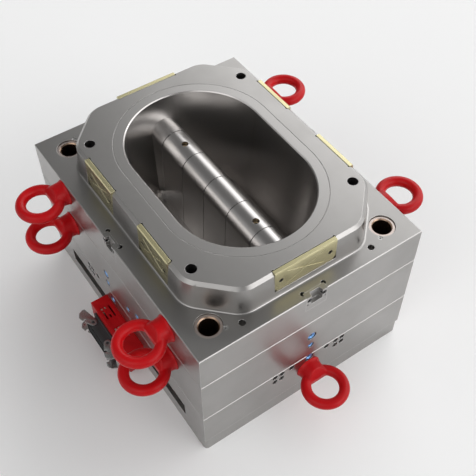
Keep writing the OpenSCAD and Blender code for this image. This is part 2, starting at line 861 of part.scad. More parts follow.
module manifold_supports() {
    color(bright_steel)
    for (s = [-1, 1]) translate([0, s * gate_y, clamp_t]) difference() {
        cylinder(d = pad_d, h = runner_gap);
        translate([0, 0, -1]) cylinder(d = pad_d / 3, h = runner_gap + 2);
    }
}

// Heated nozzle: head on the manifold, slim body, tip at the gate
module nozzle(y) {
    tip_h = 22;
    body_top = z_crest - gate_land - 2;
    color([0.66, 0.58, 0.42])
    translate([0, y, 0]) difference() {
        union() {
            translate([0, 0, z_runner_top]) cylinder(d = nozzle_head_d, h = nozzle_head_h);
            translate([0, 0, z_runner_top])
                cylinder(d = nozzle_d, h = body_top - tip_h - z_runner_top);
            translate([0, 0, body_top - tip_h]) cylinder(d1 = nozzle_d, d2 = gate_d - 4, h = tip_h);
            translate([0, 0, body_top - 1]) cylinder(d = gate_d - 4, h = 6);
        }
        translate([0, 0, z_runner_top - 1]) cylinder(d = melt_d - 4, h = z_crest);
    }
}

module nozzle_front() { nozzle(-gate_y); }
module nozzle_rear() { nozzle(gate_y); }

// Guide bushes

module guide_bush(sx, sy) {
    color([0.70, 0.52, 0.36])
    translate([sx * guide_x, sy * guide_y, z_plate - bush_sink - bush_len]) difference() {
        union() {
            cylinder(d = bush_od, h = bush_len);
            translate([0, 0, bush_len - 8]) cylinder(d = bush_flange_d, h = 8);
        }
        translate([0, 0, -1]) cylinder(d = guide_bore, h = bush_len + 2);
        translate([0, 0, bush_len - 3]) cylinder(d1 = guide_bore, d2 = guide_bore + 6.2, h = 3.1);
    }
}

module guide_bush_front_left() { guide_bush(-1, -1); }
module guide_bush_front_right() { guide_bush(1, -1); }
module guide_bush_rear_left() { guide_bush(-1, 1); }
module guide_bush_rear_right() { guide_bush(1, 1); }

module keeper_places() {
    for (sx = [-1, 1], sy = [-1, 1])
        translate([sx * (guide_x - keeper_x), sy * (guide_y + keeper_y), z_plate]) children();
}

module bush_screws() {
    color(dark_steel)
    keeper_places() difference() {
        translate([0, 0, -keeper_l - keeper_sink]) cylinder(d = keeper_d, h = keeper_l);
        translate([0, 0, -keeper_l / 2]) cylinder(d = keeper_d / 2, h = keeper_l, $fn = 6);
    }
}

// Wear plates

// Recess for a wear plate, with relief holes in its two lower and two upper inner corners
module wear_seat(turn, reach, along, l, h) {
    rotate([0, 0, turn]) translate([-reach + wear_t - wear_proud, along, z_top - h]) {
        translate([-2 * wear_t, -l / 2 - fit_gap, -fit_gap])
            cube([2 * wear_t + fit_gap, l + 2 * fit_gap, h + 1]);
        for (s = [-1, 1]) translate([-wear_relief_d / 4, s * (l / 2 - wear_relief_d / 4), 0])
            cylinder(d = wear_relief_d, h = h + 1);
    }
}

// Wear plate: bevelled top, chamfered lower corners, two sunk screws, crossed oil grooves
module wear_plate(turn, reach, along, l, h, pitch, drop) {
    color([0.80, 0.77, 0.55])
    difference() {
        intersection() {
            rotate([0, 0, turn]) translate([-reach - wear_proud, along, z_top - h])
                translate([0, l / 2, 0]) rotate([90, 0, 0]) linear_extrude(height = l)
                polygon([[0, 0], [wear_t, 0], [wear_t, h - wear_chamfer],
                    [wear_t - wear_chamfer, h], [wear_bevel / 2, h], [0, h - wear_bevel]]);
            on_side(turn, reach + 2, along, z_top - h) translate([0, 0, -wear_t - 4])
                linear_extrude(height = wear_t + 6)
                polygon([[0, wear_corner - l / 2], [wear_corner, -l / 2], [h, -l / 2],
                    [h, l / 2], [wear_corner, l / 2], [0, l / 2 - wear_corner]]);
        }
        for (s = [-1, 1]) {
            on_side(turn, reach + wear_proud, along + s * pitch / 2, z_top - drop) {
                translate([0, 0, -wear_t - 1])
                    cylinder(d = wear_bolt_d + 2 * fit_gap, h = wear_t + 2);
                translate([0, 0, -wear_bolt_sink])
                    cylinder(d = 1.5 * wear_bolt_d + 1, h = wear_bolt_sink + 2);
            }
            on_side(turn, reach + wear_proud, along, z_top - h / 2)
                rotate(s * oil_groove_turn) translate([-oil_groove_w / 2, -l / 3, -oil_groove_depth])
                cube([oil_groove_w, 2 * l / 3, 2]);
        }
    }
}

module wear_bolt_places() {
    for (s = [-1, 1], e = [-1, 1], turn = [0, 180])
        on_side(turn, plateau_w / 2 + wear_proud - wear_bolt_sink,
            e * side_wear_y + s * side_wear_bolt_pitch / 2, z_top - side_wear_bolt_drop) children();
    for (s = [-1, 1], turn = [90, 270])
        on_side(turn, plateau_l / 2 + wear_proud - wear_bolt_sink,
            s * end_wear_bolt_pitch / 2, z_top - end_wear_bolt_drop) children();
}

module wear_plate_screws() {
    color(dark_steel)
    wear_bolt_places() cap_screw(wear_bolt_d, wear_bolt_l);
}

module side_wear_plate(turn, along) {
    wear_plate(turn, plateau_w / 2, along, side_wear_l, side_wear_h,
        side_wear_bolt_pitch, side_wear_bolt_drop);
}

module end_wear_plate(turn) {
    wear_plate(turn, plateau_l / 2, 0, end_wear_l, end_wear_h,
        end_wear_bolt_pitch, end_wear_bolt_drop);
}

module wear_plate_left_front() { side_wear_plate(0, -side_wear_y); }
module wear_plate_left_rear() { side_wear_plate(0, side_wear_y); }
module wear_plate_right_front() { side_wear_plate(180, side_wear_y); }
module wear_plate_right_rear() { side_wear_plate(180, -side_wear_y); }
module wear_plate_front() { end_wear_plate(90); }
module wear_plate_rear() { end_wear_plate(270); }

// Side locks

function side_reach(turn) = turn % 180 == 0 ? half_w : half_l;

module lock_seat(turn) {
    rotate([0, 0, turn]) translate([-side_reach(turn), 0, z_plate - lock_h]) {
        translate([-1, -lock_w / 2 - fit_gap, -fit_gap])
            cube([lock_t + 1 + fit_gap, lock_w + 2 * fit_gap, lock_h + 1]);
        for (s = [-1, 1]) translate([lock_t, s * lock_w / 2, 0])
            cylinder(d = lock_relief_d, h = lock_h + 1);
    }
    lock_bolt_places(turn) translate([0, 0, -34])
        cylinder(d = lock_bolt_d + 2 * fit_gap, h = 34);
}

module lock_bolt_places(turn) {
    for (s = [-1, 1]) on_side(turn, side_reach(turn), s * lock_bolt_pitch / 2,
        z_plate - lock_bolt_drop) translate([0, 0, -9]) children();
}

module side_lock(turn) {
    color(bright_steel)
    difference() {
        rotate([0, 0, turn]) translate([-side_reach(turn), -lock_w / 2, z_plate - lock_h])
            cube([lock_t, lock_w, lock_h]);
        rotate([0, 0, turn]) translate([-side_reach(turn), 0, z_plate - lock_groove_h])
            linear_extrude(height = lock_groove_h + 1)
            polygon([[-1, -lock_groove_w / 2], [lock_groove_depth, -lock_groove_w / 2 + 3],
                [lock_groove_depth, lock_groove_w / 2 - 3], [-1, lock_groove_w / 2]]);
        lock_bolt_places(turn) {
            translate([0, 0, -10]) cylinder(d = lock_bolt_d + 2 * fit_gap, h = 20);
            cylinder(d = lock_bolt_head_d, h = 20);
        }
        for (s = [-1, 1])
            on_side(turn, side_reach(turn), s * (lock_w / 2 - 5), z_plate - lock_dowel_drop)
            translate([0, 0, -10]) cylinder(d = lock_dowel_d, h = 12);
    }
}

module side_lock_left() { side_lock(0); }
module side_lock_front() { side_lock(90); }
module side_lock_right() { side_lock(180); }
module side_lock_rear() { side_lock(270); }

module side_lock_screws() {
    color(dark_steel)
    for (turn = [0, 90, 180, 270]) lock_bolt_places(turn) cap_screw(lock_bolt_d, 24);
}

// Eyebolts

// Lifting eyebolt, standing on its collar at z = 0, the ring's axis along X
module eyebolt() {
    neck_d = collar_d - 8;
    neck_top = ring_reach - ring_r + 0.4 * ring_bar_r;
    color(red_paint)
    difference() {
        union() {
            translate([0, 0, ring_reach]) rotate([0, 90, 0])
                rotate_extrude($fn = 96) translate([ring_r, 0]) circle(ring_bar_r, $fn = 48);
            cylinder(d = collar_d, h = 5);
            translate([0, 0, 5 - eps]) cylinder(d1 = collar_d, d2 = collar_d - 3, h = 1.5);
            translate([0, 0, 6]) cylinder(d1 = neck_d, d2 = 0.85 * neck_d, h = neck_top - 13);
            translate([0, 0, neck_top - 7])
                cylinder(d1 = 0.85 * neck_d, d2 = 0.6 * neck_d, h = 9);
            translate([0, 0, -eyebolt_shank_l]) cylinder(d = eyebolt_shank_d, h = eyebolt_shank_l + 1);
        }
        translate([0, 0, ring_reach]) rotate([0, 90, 0])
            cylinder(r = ring_r - ring_bar_r, h = 4 * ring_bar_r, center = true);
    }
}

module shank_hole() {
    translate([0, 0, -eyebolt_shank_l - 4])
        cylinder(d = eyebolt_shank_d + 2 * fit_gap, h = eyebolt_shank_l + 10);
}

module eyebolt_upper_left_front() {
    on_side(0, half_w, -lift_half + lift_shift_left, z_plate - lift_drop_left) eyebolt();
}
module eyebolt_upper_left_rear() {
    on_side(0, half_w, lift_half + lift_shift_left, z_plate - lift_drop_left) eyebolt();
}
module eyebolt_lower_left_front() {
    on_side(0, half_w, -lift_half + lift_shift_left, z_cavity - lower_lift_drop) eyebolt();
}
module eyebolt_lower_left_rear() {
    on_side(0, half_w, lift_half + lift_shift_left, z_cavity - lower_lift_drop) eyebolt();
}
module eyebolt_right_front() {
    on_side(180, half_w, lift_half, z_plate - lift_drop_right) eyebolt();
}
module eyebolt_right_rear() {
    on_side(180, half_w, -lift_half, z_plate - lift_drop_right) eyebolt();
}
module eyebolt_front() {
    on_side(90, half_l, 0, z_support - front_lift_drop) eyebolt();
}

// Terminal box

// Screws through the box's four lugs, two into the manifold plate, two into the clamp plate
module box_bolt_places() {
    for (s = [-1, 1], z = [z_box + box_bolt_inset, z_box_top - box_bolt_inset])
        on_side(0, half_w, box_y + s * (box_l / 2 - box_bolt_inset), z) children();
}

module box_bolt_holes() {
    box_bolt_places() translate([0, 0, -14]) cylinder(d = box_bolt_d + 2 * fit_gap, h = 20);
}

// Pressed steel box, open to the plate, with a window for the connector
module terminal_box() {
    window_l = housing_l - 16;
    window_w = housing_w - 12;
    color(red_paint)
    difference() {
        translate([-box_face, box_y - box_l / 2, z_box]) cube([box_d, box_l, box_h]);
        difference() {
            translate([-box_face + box_wall, box_y - box_l / 2 + box_wall, z_box + box_wall])
                cube([box_d, box_l - 2 * box_wall, box_h - 2 * box_wall]);
            box_bolt_places() translate([-box_lug / 2, -box_lug / 2, -1])
                cube([box_lug, box_lug, box_lug_t + 1]);
        }
        box_bolt_places() translate([0, 0, -1]) cylinder(d = box_bolt_d + 0.5, h = box_lug_t + 2);
        translate([-box_face - 1, housing_y - window_l / 2, z_housing - window_w / 2])
            cube([box_wall + 2, window_l, window_w]);
        vent_places() translate([0, 0, -box_wall - 1]) {
            translate([-36, 0, 0]) vent(26);
            translate([-25, -8, 0]) vent(9);
            translate([-14, 5, 0]) vent(38);
            for (x = [-36, -26]) translate([x - 2.5, 19, 0]) cube([5, 9, box_wall + 2]);
        }
        housing_bolt_places() translate([0, 0, -box_wall - 8]) cylinder(d = 4.4, h = 20);
    }
}

// The two groups of openings in the box's top
module vent_places() {
    for (s = [-1, 1]) translate([-half_w, box_y + vent_shift + s * vent_pitch / 2, z_box_top])
        children();
}

// Vent slot in the box's top
module vent(l) {
    linear_extrude(height = box_wall + 2) stadium(2, l);
}

module terminal_box_screws() {
    color(dark_steel)
    box_bolt_places() translate([0, 0, box_lug_t]) cap_screw(box_bolt_d, box_lug_t + 12);
}

// Pale terminal blocks hung under the box's top, seen through the small openings
module terminal_blocks() {
    color([0.86, 0.84, 0.76])
    vent_places() difference() {
        translate([-41, 12, -box_wall - 16]) cube([20, 22, 16]);
        translate([-32, 11, -box_wall - 17]) cube([2, 24, 12]);
    }
}

// Connector

// Puts a child on the box's face, +Z outwards, at the housing's middle
module on_box() {
    on_side(0, box_face, housing_y, z_housing) children();
}

module housing_bolt_places() {
    for (sx = [-1, 1], sy = [-1, 1]) on_box()
        translate([sx * (housing_w / 2 - 5), sy * (housing_l / 2 + 5), 0]) children();
}

// Die cast housing with two pegs on each long side, one for each lever
module connector_housing() {
    color([0.25, 0.25, 0.26])
    difference() {
        on_box() {
            linear_extrude(height = flange_t)
                rounded_rect(housing_w + 2 * flange_extra, flange_l, 5);
            linear_extrude(height = housing_h) rounded_rect(housing_w, housing_l, 6);
            for (sx = [-1, 1], sy = [-1, 1]) translate([0, sy * peg_y, peg_out])
                rotate([0, sx * 90, 0]) cylinder(d = peg_d, h = housing_w / 2 + arm_gap + arm_t + 1);
        }
        on_box() translate([0, 0, -1]) linear_extrude(height = housing_h + 2)
            rounded_rect(housing_w - 2 * housing_wall, housing_l - 2 * housing_wall, 3);
        housing_bolt_places() translate([0, 0, -1]) cylinder(d = 4.4, h = 20);
    }
}

module housing_screws() {
    color(bright_steel)
    housing_bolt_places() translate([0, 0, flange_t]) difference() {
        union() {
            cylinder(d = 7, h = 2.5);
            translate([0, 0, -flange_t - box_wall]) cylinder(d = 4, h = flange_t + box_wall + 1);
        }
        translate([-0.6, -4, 1.5]) cube([1.2, 8, 2]);
    }
}

// Rubber lip on the rim of the housing's mouth
module housing_seal() {
    color([0.07, 0.07, 0.07])
    on_box() translate([0, 0, housing_h]) linear_extrude(height = seal_t) difference() {
        rounded_rect(housing_w - 1, housing_l - 1, 5.5);
        rounded_rect(housing_w - 2 * housing_wall + 1, housing_l - 2 * housing_wall + 1, 3.5);
    }
}

// Contact carrier in the housing's mouth: two rows of contacts, a screw lug at each corner
module contact_insert() {
    columns = 12;
    pitch = 6.6;
    color([0.55, 0.55, 0.52])
    on_box() difference() {
        union() {
            linear_extrude(height = housing_h - insert_inset)
                rounded_rect(housing_w - 2 * housing_wall, housing_l - 2 * housing_wall, 3);
            linear_extrude(height = housing_h - insert_inset + contact_rise)
                rounded_rect(contact_block_w, contact_block_l, 3);
            for (sx = [-1, 1], sy = [-1, 1])
                translate([sx * (housing_w / 2 - housing_wall - 5),
                    sy * (housing_l / 2 - housing_wall - 5), 0])
                cylinder(d = 7, h = housing_h - insert_inset + 2);
        }
        for (sx = [-1, 1], k = [0 : columns - 1])
            translate([sx * 7, (k - (columns - 1) / 2) * pitch, housing_h - insert_inset - 6])
            cylinder(d = 3.6, h = 12);
    }
}

// Outline of a lever arm, its peg at the origin, closed along -X; the notch takes the
// mating hood's peg and the grip side lies towards +Y
module arm_outline() {
    difference() {
        union() {
            circle(d = peg_d + 12);
            polygon([[2, 10], [-14, arm_w / 2 + 2], [4 - arm_l, arm_w / 2 + 8],
                [-arm_l, arm_w / 2 + 4], [-arm_l, 2], [8 - arm_l, -arm_w / 2 + 4],
                [-30, -arm_w / 2 + 2], [2, -10]]);
        }
        circle(d = peg_d + 2 * peg_gap);
        translate([-24, -7]) circle(d = peg_d);
        translate([-24 - peg_d / 2, -30]) square([peg_d, 23]);
    }
}

// Locking lever: two arms on their pegs, joined by a grip across the housing's end.
// Built closed for the rear end, then swung open.
module locking_lever() {
    z_arm = housing_w / 2 + arm_gap;
    rotate([0, 0, -lever_open]) {
        for (s = [-1, 1]) translate([0, 0, s * (z_arm + arm_t / 2) - arm_t / 2])
            linear_extrude(height = arm_t) arm_outline();
        translate([4 - arm_l, arm_w / 2 + 4, -z_arm - eps]) cube([grip_w, grip_t, 2 * z_arm + 2 * eps]);
    }
}

// Puts a lever on its pegs: side 1 is the rear end, -1 the front end
module at_pegs(side) {
    translate([-box_face - peg_out, housing_y + side * peg_y, z_housing])
        mirror([0, (1 - side) / 2, 0]) children();
}

module locking_lever_front() {
    color(bright_steel)
    at_pegs(-1) locking_lever();
}

module locking_lever_rear() {
    color(bright_steel)
    at_pegs(1) locking_lever();
}

clamp_plate();
locating_ring();
locating_ring_screws();
inlet_bush();
manifold_plate();
hot_runner_manifold();
manifold_supports();
nozzle_front();
nozzle_rear();
support_plate();
cavity_plate();
cavity_insert();
insert_screws();
ridge_segment_1();
ridge_segment_2();
ridge_segment_3();
ridge_segment_4();
ridge_segment_5();
ridge_segment_6();
guide_bush_front_left();
guide_bush_front_right();
guide_bush_rear_left();
guide_bush_rear_right();
bush_screws();
wear_plate_left_front();
wear_plate_left_rear();
wear_plate_right_front();
wear_plate_right_rear();
wear_plate_front();
wear_plate_rear();
wear_plate_screws();
side_lock_left();
side_lock_front();
side_lock_right();
side_lock_rear();
side_lock_screws();
eyebolt_upper_left_front();
eyebolt_upper_left_rear();
eyebolt_lower_left_front();
eyebolt_lower_left_rear();
eyebolt_right_front();
eyebolt_right_rear();
eyebolt_front();
front_water_fittings();
left_water_fittings();
port_plugs();
clamp_screws();
cavity_plate_screws();
plate_dowels();
terminal_box();
terminal_box_screws();
terminal_blocks();
connector_housing();
housing_screws();
housing_seal();
contact_insert();
locking_lever_front();
locking_lever_rear();
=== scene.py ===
"""Looks of the basin mould: finishes, lifting eyebolts, fittings, floor, light and camera."""

from __future__ import annotations

import logging
import math
from collections.abc import Iterable, Sequence
from dataclasses import dataclass, replace
from enum import Enum

import bmesh
import bpy
from mathutils import Matrix, Vector

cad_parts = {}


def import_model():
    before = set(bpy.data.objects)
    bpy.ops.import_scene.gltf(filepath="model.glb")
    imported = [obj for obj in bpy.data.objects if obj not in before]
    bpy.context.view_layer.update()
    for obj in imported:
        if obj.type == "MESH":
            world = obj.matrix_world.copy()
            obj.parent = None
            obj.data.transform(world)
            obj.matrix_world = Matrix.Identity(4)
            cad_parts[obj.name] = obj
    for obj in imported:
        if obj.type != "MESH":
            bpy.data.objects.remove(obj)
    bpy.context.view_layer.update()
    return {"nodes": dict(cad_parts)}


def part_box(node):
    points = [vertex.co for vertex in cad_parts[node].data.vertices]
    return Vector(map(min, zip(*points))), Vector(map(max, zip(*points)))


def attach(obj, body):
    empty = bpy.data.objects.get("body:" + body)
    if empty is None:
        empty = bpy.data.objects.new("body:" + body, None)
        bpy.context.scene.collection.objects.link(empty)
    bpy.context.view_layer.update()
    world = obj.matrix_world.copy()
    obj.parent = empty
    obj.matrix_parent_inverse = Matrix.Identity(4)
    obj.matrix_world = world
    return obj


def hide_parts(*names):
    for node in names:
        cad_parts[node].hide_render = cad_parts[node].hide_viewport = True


LOG = logging.getLogger("basin_mould")
BASE_BODY = "mould"
MM = 0.001
WELD = 2e-6  # metres, joins the loose corners of a CAD mesh
POLE_WELD = 1e-7  # joins the corners that a turned form has on its axis
CUT_CORNERS = 5  # a face of a remeshed form with this many corners or more is a flat cut

Colour = tuple[float, float, float]
Point = tuple[float, float, float]
# Colour of the painted shade in the ridge's joint slots.
SLOT_SHADE: Colour = (0.015, 0.014, 0.013)
MARK_RANGE = (0.3, 0.7)  # the values between which nearly all marks lie


class Grain(Enum):
    """Which way the machining marks of a finish run."""

    ALONG_PLATE = "along_plate"
    EVEN = "even"
    TURNED = "turned"


class Side(Enum):
    """A side of the mould, as the turn about +Z from the left side, in degrees."""

    LEFT = 0
    FRONT = 90
    RIGHT = 180
    REAR = 270


# Node trees


class Tree:
    """Short calls for building a shader, world or geometry tree."""

    def __init__(self, tree: bpy.types.NodeTree) -> None:
        """Wraps a node tree.

        Args:
            tree: the tree that the calls add to.
        """
        self.tree = tree

    def node(self, kind: str, **settings: object) -> bpy.types.Node:
        """Adds a node and sets its own properties.

        Args:
            kind: the node's type name.
            settings: property names and values.

        Returns:
            The new node.
        """
        made = self.tree.nodes.new(kind)
        for name, value in settings.items():
            setattr(made, name, value)
        return made

    def feed(self, target: bpy.types.NodeSocket, source: object) -> None:
        """Links a socket to an input, or sets the input's value.

        Args:
            target: the input socket.
            source: an output socket, or a plain value.
        """
        if isinstance(source, bpy.types.NodeSocket):
            self.tree.links.new(source, target)
        else:
            target.default_value = source

    def math(self, operation: str, *values: object, clamp: bool = False) -> bpy.types.NodeSocket:
        """Adds a Math node.

        Args:
            operation: the Math node's operation.
            values: up to three sockets or numbers.
            clamp: whether the result is kept between 0 and 1.

        Returns:
            The result socket.
        """
        made = self.node("ShaderNodeMath", operation=operation, use_clamp=clamp)
        for target, value in zip(made.inputs, values):
            self.feed(target, value)
        return made.outputs[0]

    def spread(self, value: object, low: float, high: float,
               out: Sequence[object]) -> bpy.types.NodeSocket:
        """Adds a Map Range node that stays within its limits.

        Args:
            value: the socket to map.
            low: the value that gives the first limit.
            high: the value that gives the second limit.
            out: the two limits, numbers or sockets.

        Returns:
            The mapped socket.
        """
        made = self.node("ShaderNodeMapRange", clamp=True)
        for name, item in (("Value", value), ("From Min", low), ("From Max", high),
                           ("To Min", out[0]), ("To Max", out[1])):
            self.feed(made.inputs[name], item)
        return made.outputs[0]

    def mix(self, share: object, first: object, second: object) -> bpy.types.NodeSocket:
        """Mixes two colours.

        Args:
            share: how much of the second colour shows.
            first: the first colour.
            second: the second colour.

        Returns:
            The mixed colour socket.
        """
        made = self.node("ShaderNodeMix", data_type="RGBA")
        self.feed(made.inputs[0], share)
        self.feed(made.inputs[6], first)
        self.feed(made.inputs[7], second)
        return made.outputs[2]

    def noise(self, place: object, scale: float, detail: float = 3.0) -> bpy.types.NodeSocket:
        """Adds a Noise texture.

        Args:
            place: the coordinate socket.
            scale: the pattern's scale.
            detail: how many octaves it has.

        Returns:
            The noise value socket.
        """
        made = self.node("ShaderNodeTexNoise")
        self.feed(made.inputs["Vector"], place)
        self.feed(made.inputs["Scale"], scale)
        self.feed(made.inputs["Detail"], detail)
        return made.outputs[0]

    def stretched(self, place: object, scale: Sequence[float]) -> bpy.types.NodeSocket:
        """Scales a coordinate by a different factor on each axis.

        Args:
            place: the coordinate socket.
            scale: the three factors.

        Returns:
            The scaled coordinate socket.
        """
        made = self.node("ShaderNodeMapping")
        self.feed(made.inputs["Vector"], place)
        made.inputs["Scale"].default_value = scale
        return made.outputs[0]


def new_group(
    name: str, inputs: dict[str, float], outputs: dict[str, str]
) -> tuple[Tree, bpy.types.Node, bpy.types.Node]:
    """Starts a shader node group with float inputs.

    Args:
        name: the group's name.
        inputs: input names with their default values.
        outputs: output names with their socket kinds.

    Returns:
        The group's tree, its input node and its output node.
    """
    group = bpy.data.node_groups.new(name, "ShaderNodeTree")
    for label, value in inputs.items():
        made = group.interface.new_socket(label, in_out="INPUT", socket_type="NodeSocketFloat")
        made.default_value = value
    for label, kind in outputs.items():
        group.interface.new_socket(label, in_out="OUTPUT", socket_type=kind)
    tree = Tree(group)
    return tree, tree.node("NodeGroupInput"), tree.node("NodeGroupOutput")


class Effects:
    """The shader node groups that several finishes share."""

    # Scale of the marks, their height, and how far they are drawn out
    MARK_SCALE = {Grain.ALONG_PLATE: 1500.0, Grain.EVEN: 1400.0, Grain.TURNED: 2200.0}
    EVEN_DETAIL = 4.0
    MARK_HEIGHT = 0.5
    PLATE_STRETCH = 0.012
    TURNED_STRETCH = 0.05
    # Likeness of the rounded and the flat normal where the bright edge (partly real wear, partly
    # painted highlight) starts and where it is full
    WEAR_AND_HIGHLIGHT_START = 0.995
    WEAR_AND_HIGHLIGHT_FULL = 0.88
    WEAR_AND_HIGHLIGHT_SAMPLES = 6
    # Scale and detail of the patches, and the noise values between which they fade
    PATCH_SCALE = 90.0
    PATCH_FADE = (0.35, 0.6)
    SMUDGE_SCALE = 7.0
    SMUDGE_FADE = (0.38, 0.66)
    PATCH_DETAIL = 5.0
    # Part of a normal that lies along its axis, over which a face looks to the front or up
    FACES_FRONT = 0.7
    FACES_UP = 0.999
    # The same along Z, on the round of the ridge: crest, where the crest ends, and flank
    CREST = 0.985
    CREST_END = 0.93
    FLANK = 0.3
    # Share of the painted slot shade that stays on the crest.
    CREST_SLOT_SHADE = 0.1

    def __init__(self) -> None:
        """Builds each group once."""
        self.grain = {kind: self._grain(kind) for kind in Grain}
        # Edge mask that lightens edges: partly real wear, partly a painted highlight.
        self.wear = self._wear_and_highlight()
        self.smudge = self._smudge()
        self.softbox = self._softbox()
        self.flat_top = self._flat_top()
        self.seam = self._seam()

    @staticmethod
    def _grain(kind: Grain) -> bpy.types.NodeTree:
        """Fine machining marks.

        Args:
            kind: which way the marks run.

        Returns:
            The group, which puts out a mark value and a height.
        """
        tree, given, result = new_group(
            f"grain_{kind.value}", {"Fineness": 1.0},
            {"Mark": "NodeSocketFloat", "Height": "NodeSocketFloat"})
        place = tree.node("ShaderNodeTexCoord").outputs["Object"]
        fine = tree.node("ShaderNodeVectorMath", operation="SCALE")
        tree.feed(fine.inputs[0], place)
        tree.feed(fine.inputs["Scale"], given.outputs["Fineness"])
        scale = Effects.MARK_SCALE[kind]
        if kind is Grain.ALONG_PLATE:
            normal = tree.node("ShaderNodeSeparateXYZ")
            tree.feed(normal.inputs[0], tree.node("ShaderNodeNewGeometry").outputs["Normal"])
            front = tree.math("GREATER_THAN", tree.math("ABSOLUTE", normal.outputs["Y"]),
                              Effects.FACES_FRONT)
            long = Effects.PLATE_STRETCH
            along_y = tree.noise(tree.stretched(fine.outputs[0], (1.0, long, 1.0)), scale)
            along_x = tree.noise(tree.stretched(fine.outputs[0], (long, 1.0, 1.0)), scale)
            blend = tree.node("ShaderNodeMix", data_type="FLOAT")
            tree.feed(blend.inputs[0], front)
            tree.feed(blend.inputs[2], along_y)
            tree.feed(blend.inputs[3], along_x)
            mark = blend.outputs[0]
        elif kind is Grain.TURNED:
            round_way = Effects.TURNED_STRETCH
            mark = tree.noise(tree.stretched(fine.outputs[0], (round_way, round_way, 1.0)), scale)
        else:
            mark = tree.noise(fine.outputs[0], scale, Effects.EVEN_DETAIL)
        tree.feed(result.inputs["Mark"], mark)
        tree.feed(result.inputs["Height"], tree.math("MULTIPLY", mark, Effects.MARK_HEIGHT))
        return tree.tree

    @staticmethod
    def _wear_and_highlight() -> bpy.types.NodeTree:
        """Bright edges, partly real wear and partly a painted highlight.

        Returns:
            The group, which puts out an edge mask and a rounded normal.
        """
        tree, given, result = new_group(
            "edge_wear", {"Width": 0.0012, "Patchiness": 0.4},
            {"Edge": "NodeSocketFloat", "Normal": "NodeSocketVector"})
        bevel = tree.node("ShaderNodeBevel", samples=Effects.WEAR_AND_HIGHLIGHT_SAMPLES)
        tree.feed(bevel.inputs["Radius"], given.outputs["Width"])
        likeness = tree.node("ShaderNodeVectorMath", operation="DOT_PRODUCT")
        tree.feed(likeness.inputs[0], bevel.outputs[0])
        tree.feed(likeness.inputs[1], tree.node("ShaderNodeNewGeometry").outputs["Normal"])
        edge = tree.spread(likeness.outputs["Value"], Effects.WEAR_AND_HIGHLIGHT_START, Effects.WEAR_AND_HIGHLIGHT_FULL,
                           (0.0, 1.0))
        place = tree.node("ShaderNodeTexCoord").outputs["Object"]
        noise = tree.noise(place, Effects.PATCH_SCALE, Effects.PATCH_DETAIL)
        least = tree.math("SUBTRACT", 1.0, given.outputs["Patchiness"])
        patch = tree.spread(noise, *Effects.PATCH_FADE, (least, 1.0))
        tree.feed(result.inputs["Edge"], tree.math("MULTIPLY", edge, patch, clamp=True))
        tree.feed(result.inputs["Normal"], bevel.outputs[0])
        return tree.tree

    @staticmethod
    def _smudge() -> bpy.types.NodeTree:
        """Soft handling marks.

        Returns:
            The group, which puts out a mask of broad faint patches.
        """
        tree, given, result = new_group("smudge", {"Size": 1.0}, {"Mask": "NodeSocketFloat"})
        place = tree.node("ShaderNodeVectorMath", operation="SCALE")
        tree.feed(place.inputs[0], tree.node("ShaderNodeTexCoord").outputs["Object"])
        tree.feed(place.inputs["Scale"], given.outputs["Size"])
        broad = tree.noise(place.outputs[0], Effects.SMUDGE_SCALE, Effects.PATCH_DETAIL)
        tree.feed(result.inputs["Mask"], tree.spread(broad, *Effects.SMUDGE_FADE, (0.0, 1.0)))
        return tree.tree

    @staticmethod
    def _flat_top() -> bpy.types.NodeTree:
        """Faces that look straight up and lie above a level.

        Returns:
            The group, which takes the level in metres and puts out a mask.
        """
        tree, given, result = new_group("flat_top", {"Level": 1.0}, {"Mask": "NodeSocketFloat"})
        normal, place = tree.node("ShaderNodeSeparateXYZ"), tree.node("ShaderNodeSeparateXYZ")
        tree.feed(normal.inputs[0], tree.node("ShaderNodeNewGeometry").outputs["True Normal"])
        tree.feed(place.inputs[0], tree.node("ShaderNodeTexCoord").outputs["Object"])
        high = tree.math("GREATER_THAN", place.outputs["Z"], given.outputs["Level"])
        up = tree.math("GREATER_THAN", normal.outputs["Z"], Effects.FACES_UP)
        tree.feed(result.inputs["Mask"], tree.math("MULTIPLY", high, up))
        return tree.tree

    @staticmethod
    def _seam() -> bpy.types.NodeTree:
        """Painted shade in a joint slot that runs across Y.

        Returns:
            The group, which takes the joint's Y and half its width in metres, and puts out a mask
            that fades on the crest and ends where the round meets the flanks.
        """
        tree, given, result = new_group("seam", {"Place": 0.0, "Width": 0.0011},
                                        {"Mask": "NodeSocketFloat"})
        place, normal = tree.node("ShaderNodeSeparateXYZ"), tree.node("ShaderNodeSeparateXYZ")
        tree.feed(place.inputs[0], tree.node("ShaderNodeTexCoord").outputs["Object"])
        tree.feed(normal.inputs[0], tree.node("ShaderNodeNewGeometry").outputs["Normal"])
        away = tree.math("SUBTRACT", place.outputs["Y"], given.outputs["Place"])
        near = tree.math("LESS_THAN", tree.math("ABSOLUTE", away), given.outputs["Width"])
        round_part = tree.math("GREATER_THAN", normal.outputs["Z"], Effects.FLANK)
        fade = tree.spread(normal.outputs["Z"], Effects.CREST, Effects.CREST_END,
                           (Effects.CREST_SLOT_SHADE, 1.0))
        flank = tree.math("MULTIPLY", fade, round_part)
        tree.feed(result.inputs["Mask"], tree.math("MULTIPLY", near, flank))
        return tree.tree

